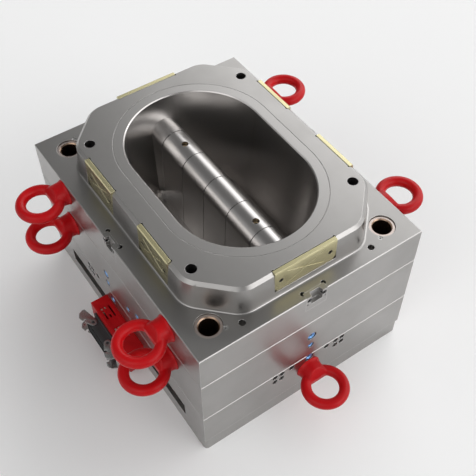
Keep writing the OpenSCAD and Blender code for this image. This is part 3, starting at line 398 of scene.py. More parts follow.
    @staticmethod
    def _softbox() -> bpy.types.NodeTree:
        """One far, soft-edged light panel of the studio.

        Returns:
            The group, which takes the panel's direction, its level and the cosines of the angles
            to its inner and outer edge.
        """
        tree, given, result = new_group(
            "softbox",
            {"East": 0.0, "North": 1.0, "Up": 0.0, "Inner": 0.9, "Outer": 0.7, "Level": 1.0},
            {"Light": "NodeSocketFloat"})
        toward = tree.node("ShaderNodeCombineXYZ")
        for axis, label in zip("XYZ", ("East", "North", "Up")):
            tree.feed(toward.inputs[axis], given.outputs[label])
        likeness = tree.node("ShaderNodeVectorMath", operation="DOT_PRODUCT")
        tree.feed(likeness.inputs[0], tree.node("ShaderNodeTexCoord").outputs["Generated"])
        tree.feed(likeness.inputs[1], toward.outputs[0])
        made = tree.node("ShaderNodeMapRange", clamp=True, interpolation_type="SMOOTHSTEP")
        tree.feed(made.inputs["Value"], likeness.outputs["Value"])
        for name, label in (("From Min", "Outer"), ("From Max", "Inner"), ("To Max", "Level")):
            tree.feed(made.inputs[name], given.outputs[label])
        tree.feed(result.inputs["Light"], made.outputs[0])
        return tree.tree


@dataclass(frozen=True)
class Finish:
    """A surface finish, built as one procedural material.

    second is the colour of its faint patches and edge that of its bright edges, which are partly
    real wear and partly a painted highlight. spread is how far the marks change the roughness, and
    bump their height in millimetres. Flat tops above ground_above, in metres, are ground instead:
    they have ground and ground_roughness. seams are the places along Y, in metres, of the joints
    that get painted shade.
    """

    name: str
    colour: Colour
    second: Colour
    edge: Colour
    metallic: float = 1.0
    roughness: float = 0.3
    spread: float = 0.08
    bump: float = 0.02
    grain: Grain = Grain.EVEN
    fineness: float = 1.0
    edge_width: float = 0.0012
    edge_share: float = 0.8
    coat: float = 0.0
    coat_roughness: float = 0.05
    specular: float = 0.5
    ground_above: float = 9.0
    ground: Colour = (0.40, 0.39, 0.38)
    ground_roughness: float = 0.32
    seams: tuple[float, ...] = ()

    def build(self, effects: Effects) -> bpy.types.Material:
        """Makes the material.

        Args:
            effects: the shared shader groups.

        Returns:
            The material.
        """
        made = bpy.data.materials.new(self.name)
        made.use_nodes = True
        made.diffuse_color = (*self.colour, 1.0)
        tree = Tree(made.node_tree)
        shader = made.node_tree.nodes["Principled BSDF"]
        grain = tree.node("ShaderNodeGroup", node_tree=effects.grain[self.grain])
        wear = tree.node("ShaderNodeGroup", node_tree=effects.wear)
        smudge = tree.node("ShaderNodeGroup", node_tree=effects.smudge)
        grain.inputs["Fineness"].default_value = self.fineness
        wear.inputs["Width"].default_value = self.edge_width
        body = tree.mix(smudge.outputs["Mask"], (*self.colour, 1.0), (*self.second, 1.0))
        top = tree.node("ShaderNodeGroup", node_tree=effects.flat_top)
        top.inputs["Level"].default_value = self.ground_above
        body = tree.mix(top.outputs["Mask"], body, (*self.ground, 1.0))
        for place in self.seams:
            seam = tree.node("ShaderNodeGroup", node_tree=effects.seam)
            seam.inputs["Place"].default_value = place
            # Painted shade in the ridge's joint slots.
            body = tree.mix(seam.outputs["Mask"], body, (*SLOT_SHADE, 1.0))
        # Edges lighten towards the edge colour: partly real wear, partly a painted highlight.
        edge = tree.math("MULTIPLY", wear.outputs["Edge"], self.edge_share, clamp=True)
        tree.feed(shader.inputs["Base Color"], tree.mix(edge, body, (*self.edge, 1.0)))
        marks = tree.spread(grain.outputs["Mark"], *MARK_RANGE, (-self.spread, self.spread))
        rough = tree.math("ADD", marks, tree.math("MULTIPLY", smudge.outputs["Mask"], self.spread))
        level = tree.spread(top.outputs["Mask"], 0.0, 1.0, (self.roughness, self.ground_roughness))
        tree.feed(shader.inputs["Roughness"], tree.math("ADD", rough, level, clamp=True))
        bump = tree.node("ShaderNodeBump")
        bump.inputs["Strength"].default_value = 1.0
        bump.inputs["Distance"].default_value = self.bump * MM
        tree.feed(bump.inputs["Height"], grain.outputs["Height"])
        tree.feed(bump.inputs["Normal"], wear.outputs["Normal"])
        tree.feed(shader.inputs["Normal"], bump.outputs[0])
        shader.inputs["Metallic"].default_value = self.metallic
        shader.inputs["Coat Weight"].default_value = self.coat
        shader.inputs["Coat Roughness"].default_value = self.coat_roughness
        shader.inputs["Specular IOR Level"].default_value = self.specular
        return made


# The third colour of each finish lightens its edges: partly real wear, partly a painted highlight.
PLATE_STEEL = Finish("plate_steel", (0.40, 0.39, 0.38), (0.36, 0.35, 0.34), (0.86, 0.85, 0.84),
                     roughness=0.31, spread=0.03, bump=0.010, grain=Grain.ALONG_PLATE)
POLISHED_STEEL = Finish("polished_steel", (0.62, 0.60, 0.585), (0.58, 0.56, 0.545),
                        (0.70, 0.69, 0.68), roughness=0.25, spread=0.01, bump=0.001,
                        edge_width=0.0006, edge_share=0.3, ground_above=0.52)
RIDGE_STEEL = Finish("polished_steel_ridge", (0.50, 0.485, 0.475), (0.47, 0.455, 0.445),
                     (0.66, 0.65, 0.64), roughness=0.3, spread=0.01, bump=0.001,
                     edge_width=0.0005, edge_share=0.2)
GROUND_STEEL = Finish("ground_steel", (0.56, 0.56, 0.55), (0.48, 0.48, 0.47), (0.85, 0.85, 0.84),
                      roughness=0.26, spread=0.05, bump=0.01, fineness=1.6, edge_width=0.0006)
BLACK_STEEL = Finish("black_steel", (0.035, 0.035, 0.038), (0.06, 0.055, 0.05), (0.28, 0.27, 0.26),
                     metallic=0.85, roughness=0.36, spread=0.08, bump=0.01, edge_width=0.0006)
WEAR_BRASS = Finish("wear_brass", (0.66, 0.61, 0.37), (0.58, 0.53, 0.31), (0.92, 0.88, 0.66),
                    roughness=0.27, spread=0.05, bump=0.01, edge_width=0.0009)
BUSH_BRONZE = Finish("bush_bronze", (0.40, 0.28, 0.20), (0.32, 0.22, 0.16), (0.80, 0.68, 0.60),
                     roughness=0.26, spread=0.05, bump=0.01, grain=Grain.TURNED, edge_width=0.0009,
                     ground_above=0.43, ground=(0.58, 0.50, 0.46), ground_roughness=0.3)
NOZZLE_BRONZE = Finish("nozzle_bronze", (0.46, 0.34, 0.20), (0.36, 0.26, 0.15), (0.74, 0.60, 0.42),
                       roughness=0.3, spread=0.05, bump=0.01, grain=Grain.TURNED)
RED_PAINT = Finish("red_paint", (0.56, 0.003, 0.006), (0.46, 0.002, 0.005), (0.66, 0.02, 0.02),
                   metallic=0.0, roughness=0.38, spread=0.03, bump=0.03, fineness=0.25,
                   edge_width=0.0008, edge_share=0.4, coat=0.06, coat_roughness=0.2, specular=0.2)
BLUE_ANODISED = Finish("blue_anodised", (0.24, 0.48, 0.86), (0.20, 0.42, 0.80), (0.66, 0.82, 0.97),
                       metallic=0.85, roughness=0.28, spread=0.05, bump=0.008, grain=Grain.TURNED,
                       edge_width=0.0009, edge_share=0.9)
PALE_PLASTIC = Finish("pale_plastic", (0.74, 0.70, 0.60), (0.68, 0.63, 0.53), (0.82, 0.79, 0.70),
                      metallic=0.0, roughness=0.5, spread=0.05, bump=0.03, edge_width=0.0005)
HOUSING_ALLOY = Finish("housing_alloy", (0.060, 0.062, 0.064), (0.045, 0.046, 0.048),
                       (0.20, 0.20, 0.20), metallic=0.2, roughness=0.5, spread=0.06, bump=0.12,
                       fineness=0.6, edge_width=0.0008, edge_share=0.6)
# Black rubber of the housing seal; also the dark discs of painted shade in the fitting bores.
SEAL_RUBBER_AND_BORE_SHADE = Finish("seal_rubber", (0.008, 0.008, 0.008), (0.014, 0.014, 0.014),
                     (0.03, 0.03, 0.03), metallic=0.0, roughness=0.6, spread=0.08, bump=0.03,
                     edge_width=0.0005)
GREY_PLASTIC = Finish("grey_plastic", (0.24, 0.24, 0.22), (0.20, 0.20, 0.185), (0.34, 0.34, 0.32),
                      metallic=0.0, roughness=0.45, spread=0.05, bump=0.03, edge_width=0.0005)


SOFTENED = (("terminal_box", RED_PAINT, 1.0, BASE_BODY),
            ("connector_housing", HOUSING_ALLOY, 1.0, BASE_BODY),
            ("contact_insert", GREY_PLASTIC, 0.5, BASE_BODY),
            ("locking_lever_front", GROUND_STEEL, 0.7, "lever_front"),
            ("locking_lever_rear", GROUND_STEEL, 0.7, "lever_rear"))


class Wardrobe:
    """Builds each finish once and dresses CAD nodes and pieces in it."""

    def __init__(self) -> None:
        """Builds the shared effects."""
        self.effects = Effects()
        self.made: dict[str, bpy.types.Material] = {}

    def material(self, finish: Finish) -> bpy.types.Material:
        """The material of a finish.

        Args:
            finish: the finish.

        Returns:
            Its material, built on the first call.
        """
        if finish.name not in self.made:
            self.made[finish.name] = finish.build(self.effects)
        return self.made[finish.name]

    def dress(self, target: bpy.types.Object, finish: Finish) -> None:
        """Gives an object one finish all over.

        Args:
            target: a CAD node's object or a piece.
            finish: the finish.
        """
        target.data.materials.clear()
        target.data.materials.append(self.material(finish))


# Mesh work


def link(name: str, data: bpy.types.ID) -> bpy.types.Object:
    """Puts a mesh, a lamp or a camera in the scene.

    Args:
        name: the object's name.
        data: its data.

    Returns:
        The new object.
    """
    made = bpy.data.objects.new(name, data)
    bpy.context.scene.collection.objects.link(made)
    return made


def settled(target: bpy.types.Object) -> bpy.types.Object:
    """Turns an object and its modifiers into a plain mesh.

    Args:
        target: the object, which goes.

    Returns:
        The plain object, under the same name.
    """
    name = target.name
    shown = target.evaluated_get(bpy.context.evaluated_depsgraph_get())
    mesh = bpy.data.meshes.new_from_object(shown)
    bpy.data.objects.remove(target, do_unlink=True)
    mesh.name = name
    return link(name, mesh)


def lathe(bm: bmesh.types.BMesh, profile: Sequence[tuple[float, float]], steps: int) -> None:
    """Turns a closed profile round the Z axis.

    Args:
        bm: the mesh that gets the faces.
        profile: radius and height of each point, counter-clockwise as seen from the front.
        steps: how many steps make a full turn.
    """
    rings = []
    for k in range(steps):
        turn = math.tau * k / steps
        across, along = math.cos(turn), math.sin(turn)
        rings.append([bm.verts.new((r * across, r * along, z)) for r, z in profile])
    count = len(profile)
    for k in range(steps):
        first, second = rings[k], rings[(k + 1) % steps]
        for i in range(count):
            j = (i + 1) % count
            bm.faces.new((first[i], second[i], second[j], first[j]))
    bmesh.ops.remove_doubles(bm, verts=bm.verts, dist=POLE_WELD)


def side_of(node: str) -> Side:
    """The side that a CAD node stands on, from its name.

    Args:
        node: the node's name.

    Returns:
        The side.
    """
    for word, side in (("left", Side.LEFT), ("right", Side.RIGHT), ("front", Side.FRONT)):
        if word in node:
            return side
    return Side.REAR


def welded(source: bpy.types.Object) -> bmesh.types.BMesh:
    """A copy of a CAD node's mesh where it stands, its loose corners joined.

    Args:
        source: the CAD node's object.

    Returns:
        The copy, in metres.
    """
    bm = bmesh.new()
    bm.from_mesh(source.data)
    bmesh.ops.transform(bm, matrix=source.matrix_world, verts=bm.verts)
    bmesh.ops.remove_doubles(bm, verts=bm.verts, dist=WELD)
    return bm


def solid_boxes(source: bpy.types.Object) -> list[tuple[Vector, Vector]]:
    """The box of each separate solid of a CAD node.

    Args:
        source: the CAD node's object.

    Returns:
        The lowest and highest corner of each solid, in metres, sorted.
    """
    bm = welded(source)
    boxes, left = [], set(bm.verts)
    while left:
        found, waiting = [], [left.pop()]
        while waiting:
            vert = waiting.pop()
            found.append(vert.co.copy())
            for edge in vert.link_edges:
                other = edge.other_vert(vert)
                if other in left:
                    left.remove(other)
                    waiting.append(other)
        boxes.append((Vector([min(co[k] for co in found) for k in range(3)]),
                      Vector([max(co[k] for co in found) for k in range(3)])))
    bm.free()
    return sorted(boxes, key=lambda box: tuple(box[0]))


def to_mesh(bm: bmesh.types.BMesh, name: str) -> bpy.types.Mesh:
    """Turns a bmesh, which goes, into a mesh.

    Args:
        bm: the bmesh.
        name: the mesh's name.

    Returns:
        The mesh.
    """
    mesh = bpy.data.meshes.new(name)
    bm.to_mesh(mesh)
    bm.free()
    return mesh


def cut_flat(bm: bmesh.types.BMesh, point: Sequence[float], normal: Sequence[float]) -> None:
    """Cuts off what lies beyond a plane and closes the cut.

    Args:
        bm: the mesh.
        point: a point of the plane.
        normal: the direction of what goes.
    """
    cut = bmesh.ops.bisect_plane(bm, geom=bm.verts[:] + bm.edges[:] + bm.faces[:], plane_co=point,
                                 plane_no=normal, clear_outer=True)
    rim = [edge for edge in cut["geom_cut"] if isinstance(edge, bmesh.types.BMEdge)]
    bmesh.ops.edgenet_fill(bm, edges=rim)


def hand_over(made: bpy.types.Object, nodes: Sequence[str],
              body: str = BASE_BODY) -> None:
    """Lets a piece stand for CAD nodes.

    Args:
        made: the piece.
        nodes: the CAD nodes.
        body: the body that it rides on.
    """
    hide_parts(*nodes)
    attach(made, body)


@dataclass(frozen=True)
class Place:
    """A spot on a side of the mould, in metres.

    A form that is set there points outwards with its +Z and up with its +X.
    """

    foot: Point
    side: Side
    scale: float = 1.0

    @classmethod
    def of_box(cls, low: Sequence[float], high: Sequence[float], side: Side, back: float = 0.0,
               scale: float = 1.0) -> Place:
        """The middle of a box, on its outer face or some way behind that.

        Args:
            low: the box's lowest corner.
            high: its highest corner.
            side: the side that it stands on.
            back: the way back from its outer face, in metres.
            scale: the size of the form that stands there.

        Returns:
            The place.
        """
        low, high = Vector(low), Vector(high)
        turn = math.radians(side.value)
        outward = Vector((-math.cos(turn), -math.sin(turn), 0.0))
        middle = (low + high) / 2
        far = max(outward.dot(low), outward.dot(high)) - back
        return cls(tuple(middle + outward * (far - outward.dot(middle))), side, scale)


class Repeater:
    """Sets one form at many places of the mould's sides, with Geometry Nodes."""

    def __init__(self) -> None:
        """Builds the tree, which turns and sizes each copy by its point's own values."""
        group = bpy.data.node_groups.new("set_out", "GeometryNodeTree")
        for label, kind in (("Geometry", "NodeSocketGeometry"), ("Form", "NodeSocketObject"),
                            ("Finish", "NodeSocketMaterial"), ("Lean", "NodeSocketFloat")):
            group.interface.new_socket(label, in_out="INPUT", socket_type=kind)
        group.interface.new_socket("Geometry", in_out="OUTPUT", socket_type="NodeSocketGeometry")
        tree = Tree(group)
        given, result = tree.node("NodeGroupInput"), tree.node("NodeGroupOutput")
        shape = tree.node("GeometryNodeObjectInfo")
        tree.feed(shape.inputs["Object"], given.outputs["Form"])
        turn = tree.node("GeometryNodeInputNamedAttribute", data_type="FLOAT")
        turn.inputs["Name"].default_value = "turn"
        size = tree.node("GeometryNodeInputNamedAttribute", data_type="FLOAT")
        size.inputs["Name"].default_value = "size"
        spin = tree.node("ShaderNodeCombineXYZ")
        tree.feed(spin.inputs["Y"], given.outputs["Lean"])
        tree.feed(spin.inputs["Z"], turn.outputs["Attribute"])
        placed = tree.node("GeometryNodeInstanceOnPoints")
        tree.feed(placed.inputs["Points"], given.outputs["Geometry"])
        tree.feed(placed.inputs["Instance"], shape.outputs["Geometry"])
        tree.feed(placed.inputs["Rotation"], spin.outputs[0])
        tree.feed(placed.inputs["Scale"], size.outputs["Attribute"])
        real = tree.node("GeometryNodeRealizeInstances")
        tree.feed(real.inputs[0], placed.outputs[0])
        painted = tree.node("GeometryNodeSetMaterial")
        tree.feed(painted.inputs["Geometry"], real.outputs[0])
        tree.feed(painted.inputs["Material"], given.outputs["Finish"])
        tree.feed(result.inputs[0], painted.outputs[0])
        self.group = group

    def repeat(self, name: str, form: bpy.types.Object, places: Sequence[Place],
               finish: bpy.types.Material) -> bpy.types.Object:
        """Makes one piece of a form at every place.

        Args:
            name: the piece's name.
            form: the form, which goes.
            places: where it is set.
            finish: its material.

        Returns:
            The piece, as a plain mesh.
        """
        mesh = bpy.data.meshes.new(name)
        mesh.from_pydata([place.foot for place in places], [], [])
        turns = [math.radians(place.side.value) for place in places]
        mesh.attributes.new("turn", "FLOAT", "POINT").data.foreach_set("value", turns)
        sizes = [place.scale for place in places]
        mesh.attributes.new("size", "FLOAT", "POINT").data.foreach_set("value", sizes)
        carrier = link(name, mesh)
        work = carrier.modifiers.new("set_out", "NODES")
        work.node_group = self.group
        sockets = {item.name: item.identifier for item in self.group.interface.items_tree
                   if item.in_out == "INPUT"}
        for label, value in (("Form", form), ("Finish", finish), ("Lean", -math.pi / 2)):
            work[sockets[label]] = value
        made = settled(carrier)
        bpy.data.objects.remove(form, do_unlink=True)
        LOG.info("%s: %d places, %d faces", name, len(places), len(made.data.polygons))
        return made


@dataclass(frozen=True)
class EyeboltSizes:
    """Sizes of a forged eyebolt in millimetres, as in the part's source.

    Radii: ring, to the bar's middle, bar, foot, neck and shank. Heights over the plate: reach, to
    the ring's middle, shoulder, where the neck's wedge starts, and tip, where it ends. The rough
    form runs on behind the plate by sunk, and is cut off at the plate.
    """

    ring: float = 49.0
    bar: float = 14.0
    reach: float = 72.0
    sunk: float = 6.0
    foot: float = 35.4
    foot_height: float = 6.0
    foot_edge: float = 1.0
    foot_slope: float = 3.4
    neck: float = 30.5
    neck_taper: float = 2.0
    shoulder: float = 30.0
    shoulder_height: float = 4.0
    tip: float = 45.0
    tip_half: float = 7.0
    shank: float = 18.0
    shank_length: float = 54.0
    chamfer: float = 2.0
    voxel: float = 2.0

    @property
    def length(self) -> float:
        """The way from the plate to the ring's far side.

        Returns:
            The length in millimetres.
        """
        return self.reach + self.ring + self.bar


class LiftingEyebolts:
    """All eyebolts of the mould: one forged form, its neck run smoothly into its ring."""

    NODES = ("eyebolt_upper_left_front", "eyebolt_upper_left_rear", "eyebolt_lower_left_front",
             "eyebolt_lower_left_rear", "eyebolt_right_front", "eyebolt_right_rear",
             "eyebolt_front")
    RING_STEPS = 112
    BAR_STEPS = 28
    NECK_STEPS = 72
    SHANK_STEPS = 48
    SMOOTHING = 0.6
    SMOOTHING_ROUNDS = 7

    def __init__(self, sizes: EyeboltSizes = EyeboltSizes()) -> None:
        """Keeps the sizes.

        Args:
            sizes: the eyebolt's sizes.
        """
        self.sizes = sizes

    def neck(self) -> bpy.types.Mesh:
        """The tapered neck, cut to a wedge on both sides of the ring.

        Returns:
            Its mesh, in millimetres.
        """
        s = self.sizes
        bm = bmesh.new()
        lathe(bm, [(0, -s.sunk), (s.foot, -s.sunk), (s.foot, s.foot_edge),
                   (s.foot - s.foot_slope, s.foot_height),
                   (s.neck, s.shoulder + s.shoulder_height), (s.neck - s.neck_taper, s.tip),
                   (0, s.tip)], self.NECK_STEPS)
        slope = Vector((s.tip - s.shoulder, 0, s.neck - s.tip_half))
        for way in (1, -1):
            cut_flat(bm, (way * s.neck, 0, s.shoulder), (way * slope.x, 0, slope.z))
        return to_mesh(bm, "neck")

    def form(self) -> bpy.types.Object:
        """One eyebolt, its foot at the origin and its ring towards +Z.

        Returns:
            The form, as a plain object in metres.
        """
        s = self.sizes
        bm = bmesh.new()
        turns = [math.tau * k / self.BAR_STEPS for k in range(self.BAR_STEPS)]
        lathe(bm, [(s.ring + s.bar * math.cos(t), s.bar * math.sin(t)) for t in turns],
              self.RING_STEPS)
        place = Matrix.Translation((0, 0, s.reach)) @ Matrix.Rotation(math.pi / 2, 4, "Y")
        bmesh.ops.transform(bm, matrix=place, verts=bm.verts)
        bm.from_mesh(self.neck())
        bmesh.ops.scale(bm, vec=(MM, MM, MM), verts=bm.verts)
        made = link("eyebolt_form", to_mesh(bm, "eyebolt_form"))
        blend = made.modifiers.new("blend", "REMESH")
        blend.mode = "VOXEL"
        blend.voxel_size = s.voxel * MM
        smooth = made.modifiers.new("smooth", "SMOOTH")
        smooth.factor = self.SMOOTHING
        smooth.iterations = self.SMOOTHING_ROUNDS
        made = settled(made)
        bm = bmesh.new()
        bm.from_mesh(made.data)
        cut_flat(bm, (0, 0, 0), (0, 0, -1))
        for face in bm.faces:
            face.smooth = len(face.verts) < CUT_CORNERS
        core = bmesh.new()
        lathe(core, [(0, -s.shank_length), (s.shank - s.chamfer, -s.shank_length),
                     (s.shank, s.chamfer - s.shank_length), (s.shank, 0), (0, 0)],
              self.SHANK_STEPS)
        bmesh.ops.scale(core, vec=(MM, MM, MM), verts=core.verts)
        bm.from_mesh(to_mesh(core, "shank"))
        bm.to_mesh(made.data)
        bm.free()
        return made

    def build(self, repeater: Repeater, wardrobe: Wardrobe) -> None:
        """Makes the piece and lets it stand for the CAD eyebolts.

        Args:
            repeater: sets the form at its places.
            wardrobe: where the material comes from.
        """
        back = self.sizes.length * MM
        places = [Place.of_box(*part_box(node), side_of(node), back) for node in self.NODES]
        paint = wardrobe.material(RED_PAINT)
        made = repeater.repeat("lifting_eyebolts", self.form(), places, paint)
        hand_over(made, self.NODES)


class WaterFittings:
    """The blue quick fittings of the water ports, with dark discs in their bores as painted shade.

    LARGE is the width of the large fitting. SLEEVE and BORE are its outlines, radius and height of
    each point. All are in millimetres.
    """

    NODES = ("front_water_fittings", "left_water_fittings")
    LARGE = 22.0
    STEPS = 64
    SLEEVE = ((6.0, -24), (9.4, -24), (9.4, -8), (11, -8), (11, -0.9), (10.1, 0), (8.4, 0),
              (7.0, -1.2), (6.0, -3.2))
    # A dark disc inside the sleeve: painted shade in the bore.
    BORE = ((0, -4.4), (6.0, -4.4), (6.0, -3.4), (0, -3.4))

    def turned(self, name: str, profile: Sequence[tuple[float, float]]) -> bpy.types.Object:
        """A turned form of the large fitting.

        Args:
            name: the form's name.
            profile: radius and height of each point, in millimetres.

        Returns:
            The form, as a plain object in metres.
        """
        bm = bmesh.new()
        lathe(bm, [(r * MM, z * MM) for r, z in profile], self.STEPS)
        return link(name, to_mesh(bm, name))

    def build(self, nodes: dict[str, bpy.types.Object], repeater: Repeater,
              wardrobe: Wardrobe) -> None:
        """Makes the sleeves and the dark discs of painted shade in their bores, one of each for
        every solid of the CAD nodes.

        Args:
            nodes: the CAD objects by node name.
            repeater: sets each form at its places.
            wardrobe: where the materials come from.
        """
        places = []
        for name in self.NODES:
            side = side_of(name)
            for low, high in solid_boxes(nodes[name]):
                width = (high.z - low.z) / MM
                places.append(Place.of_box(low, high, side, scale=width / self.LARGE))
        sleeve = self.turned("fitting_form", self.SLEEVE)
        made = repeater.repeat("water_fittings", sleeve, places, wardrobe.material(BLUE_ANODISED))
        hand_over(made, self.NODES)
        # A dark disc in each bore: painted shade.
        bore = self.turned("bore_form", self.BORE)
        made = repeater.repeat("fitting_bores", bore, places, wardrobe.material(SEAL_RUBBER_AND_BORE_SHADE))
        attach(made, BASE_BODY)


class Softener:
    """Gives cast and milled CAD nodes the small radii of the real pieces."""

    FLAT = math.radians(0.5)
    SHARP = math.radians(35)
    SEGMENTS = 2

    def __init__(self, wardrobe: Wardrobe) -> None:
        """Keeps what every piece needs.

        Args:
            wardrobe: where the materials come from.
        """
        self.wardrobe = wardrobe

    def soften(self, source: bpy.types.Object, finish: Finish, radius: float,
               body: str = BASE_BODY) -> None:
        """Makes a softened copy of a CAD node and lets it stand for the node.

        Args:
            source: the CAD node's object.
            finish: the copy's finish.
            radius: the radius of its edges, in millimetres.
            body: the body that it rides on.
        """
        bm = welded(source)
        bmesh.ops.dissolve_limit(bm, angle_limit=self.FLAT, verts=bm.verts, edges=bm.edges)
        for face in bm.faces:
            face.smooth = True
        made = link(f"{source.name}_piece", to_mesh(bm, source.name))
        work = made.modifiers.new("edges", "BEVEL")
        work.width = radius * MM
        work.segments = self.SEGMENTS
        work.limit_method = "ANGLE"
        work.angle_limit = self.SHARP
        work.harden_normals = True
        made = settled(made)
        self.wardrobe.dress(made, finish)
        hand_over(made, (source.name,), body)
        LOG.info("%s: %d faces", made.name, len(made.data.polygons))


@dataclass(frozen=True)
class CadParts:
    """The CAD nodes that keep their shape, by finish."""

    plates: tuple[str, ...] = ("clamp_plate", "manifold_plate", "support_plate", "cavity_plate",
                               "side_lock_left", "side_lock_front", "side_lock_right",
                               "side_lock_rear")
    polished: tuple[str, ...] = ("cavity_insert",)
    ridge: tuple[str, ...] = tuple(f"ridge_segment_{k}" for k in range(1, 7))
    ground: tuple[str, ...] = ("locating_ring", "inlet_bush", "manifold_supports", "plate_dowels",
                               "housing_screws", "bush_screws")
    black: tuple[str, ...] = ("locating_ring_screws", "insert_screws", "wear_plate_screws",
                              "side_lock_screws", "port_plugs", "clamp_screws",
                              "cavity_plate_screws", "terminal_box_screws", "hot_runner_manifold")
    nozzles: tuple[str, ...] = ("nozzle_front", "nozzle_rear")
    wear: tuple[str, ...] = ("wear_plate_left_front", "wear_plate_left_rear",
                             "wear_plate_right_front", "wear_plate_right_rear",
                             "wear_plate_front", "wear_plate_rear")
    bushes: tuple[str, ...] = ("guide_bush_front_left", "guide_bush_front_right",
                               "guide_bush_rear_left", "guide_bush_rear_right")
    pale: tuple[str, ...] = ("terminal_blocks",)
    rubber: tuple[str, ...] = ("housing_seal",)

    def finishes(self) -> Iterable[tuple[tuple[str, ...], Finish]]:
        """What each finish is for.

        Returns:
            Pairs of node names and their finish.
        """
        return ((self.plates, PLATE_STEEL), (self.polished, POLISHED_STEEL),
                (self.ridge, RIDGE_STEEL), (self.ground, GROUND_STEEL), (self.black, BLACK_STEEL),
                (self.nozzles, NOZZLE_BRONZE), (self.bushes, BUSH_BRONZE),
                (self.wear, WEAR_BRASS), (self.pale, PALE_PLASTIC), (self.rubber, SEAL_RUBBER_AND_BORE_SHADE))

    def dress(self, nodes: dict[str, bpy.types.Object], wardrobe: Wardrobe) -> None:
        """Dresses every CAD node that is shown.

        Args:
            nodes: the CAD objects by node name.
            wardrobe: where the materials come from.
        """
        joints = tuple(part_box(name)[1][1] for name in self.ridge[:-1])
        for names, finish in self.finishes():
            if names is self.ridge:
                finish = replace(finish, seams=joints)
            for name in names:
                wardrobe.dress(nodes[name], finish)
            LOG.info("%s: %s", finish.name, ", ".join(names))


@dataclass(frozen=True)
class Panel:
    """A soft panel of the studio, far from the object.

    The turn runs from +Y towards +X, and rise is the height over the horizon, in degrees. core and
    rim are the angles, from the panel's middle, where its light starts to fade and where it ends.
    """

    turn: float
    rise: float
    core: float
    rim: float
    level: float

    def toward(self) -> Vector:
        """The way from the object to the panel.

        Returns:
            The unit vector.
        """
        turn, rise = math.radians(self.turn), math.radians(self.rise)
        level = math.cos(rise)
        return Vector((math.sin(turn) * level, math.cos(turn) * level, math.sin(rise)))


@dataclass(frozen=True)
class Lamp:
    """A soft square lamp: place, target and edge in metres, power in watts."""

    place: Point
    target: Point
    size: float
    power: float


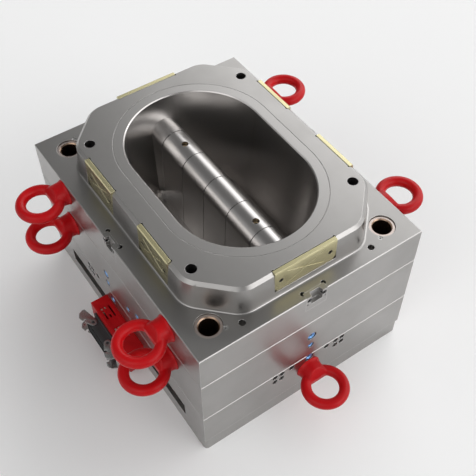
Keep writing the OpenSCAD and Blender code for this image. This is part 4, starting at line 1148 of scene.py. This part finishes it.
@dataclass(frozen=True)
class Studio:
    """Floor, lamp, world and camera.

    Places and sizes are in metres, lens and sensor in millimetres, roll in degrees. The floor has
    floor_seen where the camera or a mirror looks at it, and floor_colour where it lights things.
    """

    panels: tuple[Panel, ...] = (Panel(48, 27, 8, 26, 2.6), Panel(156, 27, 12, 26, 2.7),
                                 Panel(-78, 28, 12, 36, 0.55), Panel(100, 30, 14, 40, 1.7),
                                 Panel(-120, 40, 12, 36, 1.15))
    key: Lamp = Lamp((3.3, 0.7, 2.9), (0.0, 0.0, 0.3), 2.4, 12.0)
    eye: Point = (-0.7331, -1.1521, 1.9206)
    forward: Point = (0.35472, 0.51714, -0.77893)
    roll: float = -0.16
    lens: float = 60.16
    sensor: float = 36.0
    sight: float = 100.0
    floor_size: float = 60.0
    floor_colour: Colour = (0.72, 0.72, 0.72)
    floor_seen: Colour = (0.98, 0.98, 0.98)
    floor_roughness: float = 0.9
    world_colour: Colour = (0.95, 0.95, 0.95)
    world_level: float = 0.215

    def camera(self) -> None:
        """Puts the camera where the photograph was taken from."""
        data = bpy.data.cameras.new("photo_camera")
        data.lens = self.lens
        data.sensor_width = self.sensor
        data.clip_end = self.sight
        made = link("photo_camera", data)
        aim = Vector(self.forward).to_track_quat("-Z", "Y").to_matrix().to_4x4()
        turn = Matrix.Rotation(math.radians(self.roll), 4, "Z")
        made.matrix_world = Matrix.Translation(self.eye) @ aim @ turn
        bpy.context.scene.camera = made

    def floor(self) -> None:
        """Lays a pale floor that keeps the object's soft shadow."""
        mesh = bpy.data.meshes.new("floor")
        h = self.floor_size / 2
        mesh.from_pydata([(-h, -h, 0), (h, -h, 0), (h, h, 0), (-h, h, 0)], [], [(0, 1, 2, 3)])
        made = link("floor", mesh)
        material = bpy.data.materials.new("floor")
        material.use_nodes = True
        tree = Tree(material.node_tree)
        shader = material.node_tree.nodes["Principled BSDF"]
        rays = tree.node("ShaderNodeLightPath")
        seen = tree.math("MAXIMUM", tree.math("MAXIMUM", rays.outputs["Is Camera Ray"],
                                              rays.outputs["Is Glossy Ray"]),
                         rays.outputs["Is Transmission Ray"])
        tree.feed(shader.inputs["Base Color"],
                  tree.mix(seen, (*self.floor_colour, 1.0), (*self.floor_seen, 1.0)))
        shader.inputs["Roughness"].default_value = self.floor_roughness
        shader.inputs["Specular IOR Level"].default_value = 0.0
        mesh.materials.append(material)

    def lamp(self) -> None:
        """Hangs the key lamp, which gives the soft shadow."""
        data = bpy.data.lights.new("key", "AREA")
        data.shape = "SQUARE"
        data.size = self.key.size
        data.energy = self.key.power
        made = link("key", data)
        toward = (Vector(self.key.target) - Vector(self.key.place)).to_track_quat("-Z", "Y")
        made.matrix_world = Matrix.Translation(self.key.place) @ toward.to_matrix().to_4x4()

    def world(self, effects: Effects) -> None:
        """Lights the scene from a dim room with a few soft panels.

        Args:
            effects: the shared shader groups.
        """
        world = bpy.data.worlds.new("studio")
        bpy.context.scene.world = world
        world.use_nodes = True
        tree = Tree(world.node_tree)
        shade = world.node_tree.nodes["Background"]
        shade.inputs["Color"].default_value = (*self.world_colour, 1.0)
        total = self.world_level
        for panel in self.panels:
            box = tree.node("ShaderNodeGroup", node_tree=effects.softbox)
            for label, value in zip(("East", "North", "Up"), panel.toward()):
                box.inputs[label].default_value = value
            box.inputs["Inner"].default_value = math.cos(math.radians(panel.core))
            box.inputs["Outer"].default_value = math.cos(math.radians(panel.rim))
            box.inputs["Level"].default_value = panel.level
            total = tree.math("ADD", total, box.outputs["Light"])
            LOG.info("panel at %s, %s degrees, level %s", panel.turn, panel.rise, panel.level)
        tree.feed(shade.inputs["Strength"], total)


def main() -> None:
    """Builds the scene in order."""
    logging.basicConfig(level=logging.INFO, format="%(message)s")
    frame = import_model()
    bpy.context.scene.view_settings.view_transform = "Standard"
    studio = Studio()
    studio.camera()
    studio.floor()
    studio.lamp()
    wardrobe = Wardrobe()
    studio.world(wardrobe.effects)
    nodes = frame["nodes"]
    CadParts().dress(nodes, wardrobe)
    repeater = Repeater()
    LiftingEyebolts().build(repeater, wardrobe)
    WaterFittings().build(nodes, repeater, wardrobe)
    softener = Softener(wardrobe)
    for name, finish, radius, body in SOFTENED:
        softener.soften(nodes[name], finish, radius, body)


if __name__ == "__main__":
    main()
